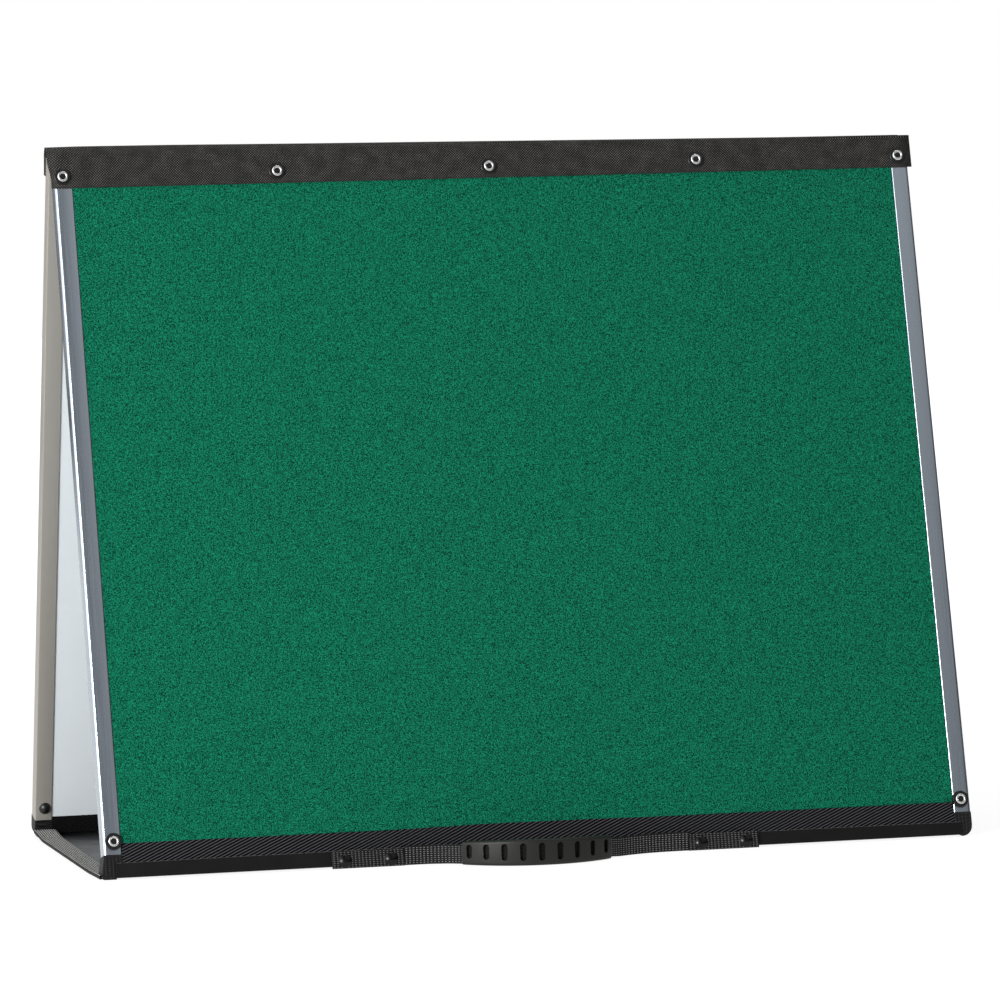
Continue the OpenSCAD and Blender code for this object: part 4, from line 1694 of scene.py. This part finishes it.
        t, w = self.strap_t / 2, self.strap_w / 2
        flat = rounded_outline([(-t, -w), (-t, w), (t, w), (t, -w)],
                               [self.loop_corner] * 4, 3)
        work = Patchwork()
        work.tube(flat, steps(0, run[-1], self.loop_step), place)
        piece = work.finish("handle_ribbon", self.paint.get(Surface.GROUND), 50)
        spots = []
        hidden = (self.grip_point(-self.grip_left).x + 1 * MM,
                  self.grip_point(self.grip_right).x - 1 * MM)
        for s in steps(self.loop_margin, run[-1] - self.loop_margin, self.pitch):
            spot, way = frame_at(s)
            if hidden[0] < spot.x < hidden[1]:
                continue
            up = Vector((0, 0, 1))
            low = table_value(self.sink, spot.x / MM) * MM
            for face in (-1, 1):
                out = up.cross(Vector((way.x, way.y, 0))) * face
                turn = Matrix((up.cross(out), up, out)).transposed().to_4x4()
                spots.append(Matrix.Translation((spot.x + out.x * t, spot.y + out.y * t,
                                                 self.mid_z + low)) @ turn)
        ribs = Stamp("handle_ribbon_ribs", rib_mesh(*self.loop_rib),
                     self.paint.get(Surface.LOOP)).place(spots)
        for thing in (piece, ribs):
            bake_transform(thing)
        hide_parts("handle_webbing")
        log.info("built %s, %.0f mm long, with %d ribs", piece.name, run[-1] / MM, len(spots))

    def strap_ends(self) -> None:
        """Makes the two doubled strap ends with upright ribs."""
        p = self.panel
        face = self.kick_face - 2 * self.strap_t
        low = self.strap_up - self.strap_w / 2
        high = low + self.end_w
        inner, outer = self.strap_in, self.strap_in + self.strap_long
        turn = self.strap_t
        edge, foot = self.end_corner, 0.1 * MM
        flat = rounded_outline([(face, low), (face, high), (self.kick_face, high),
                                (self.kick_face, low)], [edge, edge, foot, foot], 3)
        arc = [(turn * math.sin(math.pi * k / 8), turn * math.cos(math.pi * k / 8))
               for k in range(9)]
        for side, word in ((-1, "left"), (1, "right")):
            work = Patchwork()
            work.tube(flat, [inner, inner + turn, outer - turn],
                      lambda s, q: p.at(side * s, *q))
            work.tube(arc, [low, high],
                      lambda s, q: p.at(side * (outer - turn + q[0]),
                                        self.kick_face - turn + q[1], s))
            piece = work.finish(f"strap_end_{word}", self.paint.get(Surface.GROUND), 50)
            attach(piece, p.body)
            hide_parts(f"handle_strap_{word}")
            spots = [p.spot(side * s, face, (low + high) / 2)
                     for s in steps(inner + self.end_margins[0], outer - self.end_margins[1],
                                    self.pitch)]
            rows = Stamp(f"strap_end_ribs_{word}", rib_mesh(*self.end_rib),
                         self.paint.get(Surface.WEBBING)).place(spots)
            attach(rows, p.body)
            log.info("built %s with %d ribs", piece.name, len(spots))

    def studs(self) -> None:
        """Sets the four domed rivets through the strap ends."""
        p = self.panel
        shape = lathe(dome_arc(self.stud_r, self.stud_h, 12)
                      + [(self.stud_r, -self.stud_seat), (0, -self.stud_seat)])
        face = self.kick_face - 2 * self.strap_t
        head = self.stud_up + face * math.tan(p.lean)
        spots = [p.spot(side * (self.stud_x + k * self.stud_apart / 2), face, head)
                 for side in (-1, 1) for k in (-1, 1)]
        piece = Stamp("strap_studs", shape, self.paint.get(Surface.STUD)).place(spots)
        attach(piece, p.body)
        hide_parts("handle_rivets")
        log.info("set %d of %s", len(spots), piece.name)

    def grip(self) -> None:
        """Makes the moulded grip, with slots through its outer wall."""
        t, h = self.grip_t / 2, self.grip_h / 2
        flat = rounded_outline([(-t, -h), (-t, h), (t, h), (t, -h)],
                               [self.grip_corner] * 4, 6)
        middle = (self.grip_right - self.grip_left) / 2
        span = (self.grip_right + self.grip_left) / 2

        def place(turn: float, q: tuple[float, float]) -> tuple[float, float, float]:
            """Lowers the grip a little towards its ends.

            Args:
                turn: Angle from straight ahead, in degrees.
                q: Point of the grip's section.

            Returns:
                The grip's point.
            """
            away = (turn - middle) / span
            tall = 1.0 - self.taper[away >= 0] * away ** 2
            spot = self.grip_point(turn, self.grip_r + q[0])
            return (spot.x, spot.y, self.mid_z - h + (q[1] + h) * tall)

        work = Patchwork()
        work.tube(flat, steps(-self.grip_left, self.grip_right, self.grip_turn), place)
        piece = work.finish("handle_grip_shell", self.paint.get(Surface.GRIP), 50)
        for tool in (self.slot_cutters(), self.hollow()):
            cut = piece.modifiers.new("Cut", "BOOLEAN")
            cut.operation, cut.object, cut.solver = "DIFFERENCE", tool, "EXACT"
            bpy.context.view_layer.update()
            graph = bpy.context.evaluated_depsgraph_get()
            shape = bpy.data.meshes.new_from_object(piece.evaluated_get(graph))
            piece.modifiers.clear()
            piece.data = shape
            bpy.data.objects.remove(tool)
        piece.data.set_sharp_from_angle(angle=math.radians(35))
        soft = piece.modifiers.new("Soft edges", "BEVEL")
        soft.width, soft.segments, soft.limit_method = self.soft_edge, 2, "ANGLE"
        soft.angle_limit = math.radians(50)
        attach(piece, self.body)
        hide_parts("handle_grip")
        log.info("built %s with %d slots", piece.name, self.slots)

    def hollow(self) -> bpy.types.Object:
        """Makes the cutter for the grip's inside, where the webbing runs.

        Returns:
            The cutter.
        """
        w, g = self.strap_w / 2 + self.hollow_gap, self.strap_t / 2 + self.hollow_gap
        work = Patchwork()
        work.tube([(-g, -w), (-g, w), (g, w), (g, -w)],
                  steps(-self.grip_left - 2, self.grip_right + 2, self.grip_turn),
                  lambda turn, q: (*self.grip_point(turn, self.grip_r + q[0]),
                                   self.mid_z + q[1]))
        return work.finish("hollow", self.paint.get(Surface.GRIP))

    def slot_cutters(self) -> bpy.types.Object:
        """Makes the cutters for the slots, tallest in the middle of the grip.

        Returns:
            The cutters, as one object.
        """
        margin = math.degrees(self.slot_margin / self.grip_r)
        first, last = -self.grip_left + margin, self.grip_right - margin
        least, most = self.slot_heights
        work = Patchwork()
        for i in range(self.slots):
            s = i / (self.slots - 1)
            self.slot(work, first + (last - first) * s,
                      least + (most - least) * math.sin(math.pi * s))
        return work.finish("slots", self.paint.get(Surface.GRIP))

    def slot(self, work: Patchwork, turn: float, tall: float) -> None:
        """Adds one round-ended slot cutter through the grip's outer wall.

        Args:
            work: The cutters so far.
            turn: The slot's angle from straight ahead, in degrees.
            tall: Its height.
        """
        r, half = self.slot_w / 2, tall / 2
        outline = []
        for k in range(self.slot_sides):
            a = 2 * math.pi * k / self.slot_sides - math.pi / 2
            lift = half - r if math.sin(a) >= 0 else r - half
            outline.append((r * math.cos(a), lift + r * math.sin(a)))
        a = math.radians(turn)
        way, out = Vector((math.cos(a), math.sin(a))), Vector((math.sin(a), -math.cos(a)))
        near = self.grip_point(turn, self.grip_r)

        def place(s: float, q: tuple[float, float]) -> tuple[float, float, float]:
            """Places a point of the cutter.

            Args:
                s: Distance outwards.
                q: Point of the slot's outline.

            Returns:
                The cutter's point.
            """
            spot = near + out * s + way * q[0]
            return (spot.x, spot.y, self.mid_z + self.slot_lift + q[1])

        work.tube(outline, [0.0, self.slot_deep], place)

    def build(self) -> None:
        """Makes the whole handle."""
        self.strap_ends()
        self.studs()
        self.ribbon()
        self.grip()


@dataclass
class Boards:
    """The flat layers of the panels, which keep their own shapes."""

    paint: Paintbox
    nodes: dict[str, bpy.types.Object]

    def build(self) -> None:
        """Coats each layer."""
        coats = {"front_core": Surface.BOARD, "rear_core": Surface.BOARD,
                 "front_felt": Surface.FELT, "front_liner": Surface.LINER,
                 "rear_liner": Surface.LINER, "rear_steel_sheet": Surface.ENAMEL}
        for name, surface in coats.items():
            self.paint.coat(self.nodes[name], surface)
            log.info("coated %s", name)


@dataclass
class Studio:
    """Pale floor, plain soft light and the camera."""

    paint: Paintbox
    place: tuple[float, float, float] = (-1.111383, -4.444431, 0.534634)
    lens: float = 236.441
    right: tuple[float, float, float] = (0.969136, -0.245592, -0.021461)
    up: tuple[float, float, float] = (0.036767, 0.057908, 0.997645)
    forward: tuple[float, float, float] = (0.243771, 0.967642, -0.065151)
    floor_half: float = 9.0
    floor_z: float = -0.05 * MM
    # How much of what the camera sees of the floor is glow, so that some shadow is left.
    camera_share: float = 0.75
    # Each row is a stretch of distance from the easel and the floor's glow at its ends.
    glow_in_metal: tuple[float, float, float, float] = (3.2, 4.6, 0.85, 0.1)
    glow_to_camera: tuple[float, float, float, float] = (0.9, 2.6, 1.15, 1.5)
    # Each row is a stretch of direction and what metal mirrors of the room at its ends:
    # a bright wall on the left, a dim room elsewhere, and a high window on the right.
    left_wall: tuple[float, float, float, float] = (-0.54, -0.34, 1.5, 0.0)
    dim_room: tuple[float, float, float, float] = (0.2, 0.8, 0.2, 0.06)
    right_side: tuple[float, float, float, float] = (0.1, 0.2, 0.0, 1.0)
    high_window: tuple[float, float, float, float] = (0.38, 0.47, 0.0, 0.42)
    world_light: float = 0.5
    aim: tuple[float, float, float] = (0.0, 0.0, 0.22)
    # Each lamp's place, size in metres, power in watts, and whether metal mirrors it.
    lamp_list: Sequence[tuple[str, tuple[float, float, float], float, float, bool]] = (
        ("key", (-2.5, -2.3, 0.9), 1.2, 95, True),
        ("fill", (2.4, -2.6, 2.0), 1.6, 10, False),
        ("top", (0.3, 0.8, 3.0), 1.6, 20, True))

    def camera(self) -> None:
        """Sets the camera where the photograph was taken from."""
        data = bpy.data.cameras.new("view")
        data.lens, data.sensor_width = self.lens, 36
        data.clip_start, data.clip_end = 0.1, 60
        item = bpy.data.objects.new("view", data)
        turn = Matrix((Vector(self.right), Vector(self.up), -Vector(self.forward)))
        item.matrix_world = Matrix.Translation(self.place) @ turn.transposed().to_4x4()
        bpy.context.scene.collection.objects.link(item)
        bpy.context.scene.camera = item

    def floor(self) -> None:
        """Lays a wide floor, white to the camera but for the easel's soft shadow."""
        work = Patchwork()
        tiles = steps(-self.floor_half, self.floor_half, 3)
        work.grid(tiles, tiles, lambda a, b: (a, b, self.floor_z))
        material = self.paint.get(Surface.FLOOR)
        tree = material.node_tree
        output = next(n for n in tree.nodes if n.type == "OUTPUT_MATERIAL")
        path = add_node(tree, "ShaderNodeLightPath")
        share = add_node(tree, "ShaderNodeMath",
                         {"operation": "MULTIPLY_ADD", "use_clamp": True},
                         i0=path.outputs["Is Camera Ray"], i1=self.camera_share,
                         i2=path.outputs["Is Glossy Ray"])
        place = add_node(tree, "ShaderNodeTexCoord")
        away = add_node(tree, "ShaderNodeVectorMath", {"operation": "LENGTH"},
                        i0=place.outputs["Object"])
        in_metal, to_camera = [
            add_node(tree, "ShaderNodeMapRange", None, Value=away.outputs["Value"],
                     From_Min=near, From_Max=far, To_Min=start, To_Max=end)
            for near, far, start, end in (self.glow_in_metal, self.glow_to_camera)]
        level = add_node(tree, "ShaderNodeMix", {"data_type": "FLOAT"},
                         i0=path.outputs["Is Camera Ray"], i2=in_metal.outputs[0],
                         i3=to_camera.outputs[0])
        glow = add_node(tree, "ShaderNodeEmission", None, Color=(1, 1, 1, 1),
                        Strength=level.outputs[0])
        mix = add_node(tree, "ShaderNodeMixShader", None, i0=share.outputs[0],
                       i1=tree.nodes["Principled BSDF"].outputs[0], i2=glow.outputs[0])
        tree.links.new(mix.outputs[0], output.inputs[0])
        piece = work.finish("studio_floor", material)

    def world(self) -> None:
        """Lights the world: white to the camera, plain to the easel, a room to metal."""
        world = bpy.data.worlds.new("studio")
        bpy.context.scene.world = world
        world.use_nodes = True
        tree = world.node_tree
        back = tree.nodes["Background"]
        path = add_node(tree, "ShaderNodeLightPath")
        way = add_node(tree, "ShaderNodeTexCoord")
        parts = add_node(tree, "ShaderNodeSeparateXYZ", None, Vector=way.outputs["Generated"])
        wall, room, right, high = [
            add_node(tree, "ShaderNodeMapRange", {"interpolation_type": "SMOOTHSTEP"},
                     Value=parts.outputs[axis], From_Min=low, From_Max=top, To_Min=start,
                     To_Max=end)
            for axis, (low, top, start, end) in ((0, self.left_wall), (0, self.dim_room),
                                                 (0, self.right_side), (2, self.high_window))]
        sides = add_node(tree, "ShaderNodeMath", {"operation": "ADD"}, i0=wall.outputs[0],
                         i1=room.outputs[0])
        shine = add_node(tree, "ShaderNodeMath", {"operation": "MULTIPLY_ADD"},
                         i0=right.outputs[0], i1=high.outputs[0], i2=sides.outputs[0])
        mirror = add_node(tree, "ShaderNodeMix", {"data_type": "FLOAT"},
                          i0=path.outputs["Is Glossy Ray"], i2=self.world_light,
                          i3=shine.outputs[0])
        level = add_node(tree, "ShaderNodeMix", {"data_type": "FLOAT"},
                         i0=path.outputs["Is Camera Ray"], i2=mirror.outputs[0], i3=1.0)
        back.inputs["Color"].default_value = (1, 1, 1, 1)
        tree.links.new(level.outputs[0], back.inputs["Strength"])

    def lamps(self) -> None:
        """Hangs the large soft lamps."""
        for name, spot, size, power, mirrored in self.lamp_list:
            data = bpy.data.lights.new(name, "AREA")
            data.shape, data.size, data.energy = "DISK", size, power
            lamp = bpy.data.objects.new(name, data)
            lamp.location = spot
            way = Vector(self.aim) - Vector(spot)
            lamp.rotation_euler = way.to_track_quat("-Z", "Y").to_euler()
            lamp.visible_glossy = mirrored
            bpy.context.scene.collection.objects.link(lamp)

    def build(self) -> None:
        """Sets the camera, the floor and the light."""
        self.camera()
        self.floor()
        self.world()
        self.lamps()
        bpy.context.scene.view_settings.view_transform = "Standard"
        log.info("set the camera, the floor, the world and %d lamps", len(self.lamp_list))


def main() -> None:
    """Builds and dresses the easel, and sets the studio round it."""
    logging.basicConfig(level=logging.INFO, format="%(name)s: %(message)s")
    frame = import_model()
    paint = Paintbox()
    front = Panel(rear=False, body="front_panel", tag="front")
    rear = Panel(rear=True, body="rear_panel", tag="rear", trim_lift=13.0 * MM)
    Boards(paint, frame["nodes"]).build()
    for panel, strip, boots in (
            (front, KickStrip(front, paint, "kick_strip", top=7.4 * MM),
             Boots(front, paint, rounding=(1.5 * MM, 7.0 * MM), swell=(2.2 * MM, 0.0))),
            (rear, KickStrip(rear, paint, "rear_kick_strip", top=10.0 * MM),
             Boots(rear, paint, rounding=(7.0 * MM, 6.0 * MM)))):
        EdgeTrims(panel, paint).build()
        TapeWrap(panel, paint).build()
        strip.build()
        boots.build()
    Rivets(front, paint, spine_u=482.5 * MM, corner_u=22.4 * MM,
           nudges=((-1.5, -1.0), (-0.7, -0.7), (0.7, -1.0), (1.0, 0), (-0.3, -0.7))).build()
    Rivets(rear, paint, spine_u=484.0 * MM, corner_u=21.8 * MM).build()
    SpineStrip(front, rear, paint).build()
    BaseSheet(front, rear, paint).build()
    Handle(front, paint).build()
    Studio(paint).build()


if __name__ == "__main__":
    main()
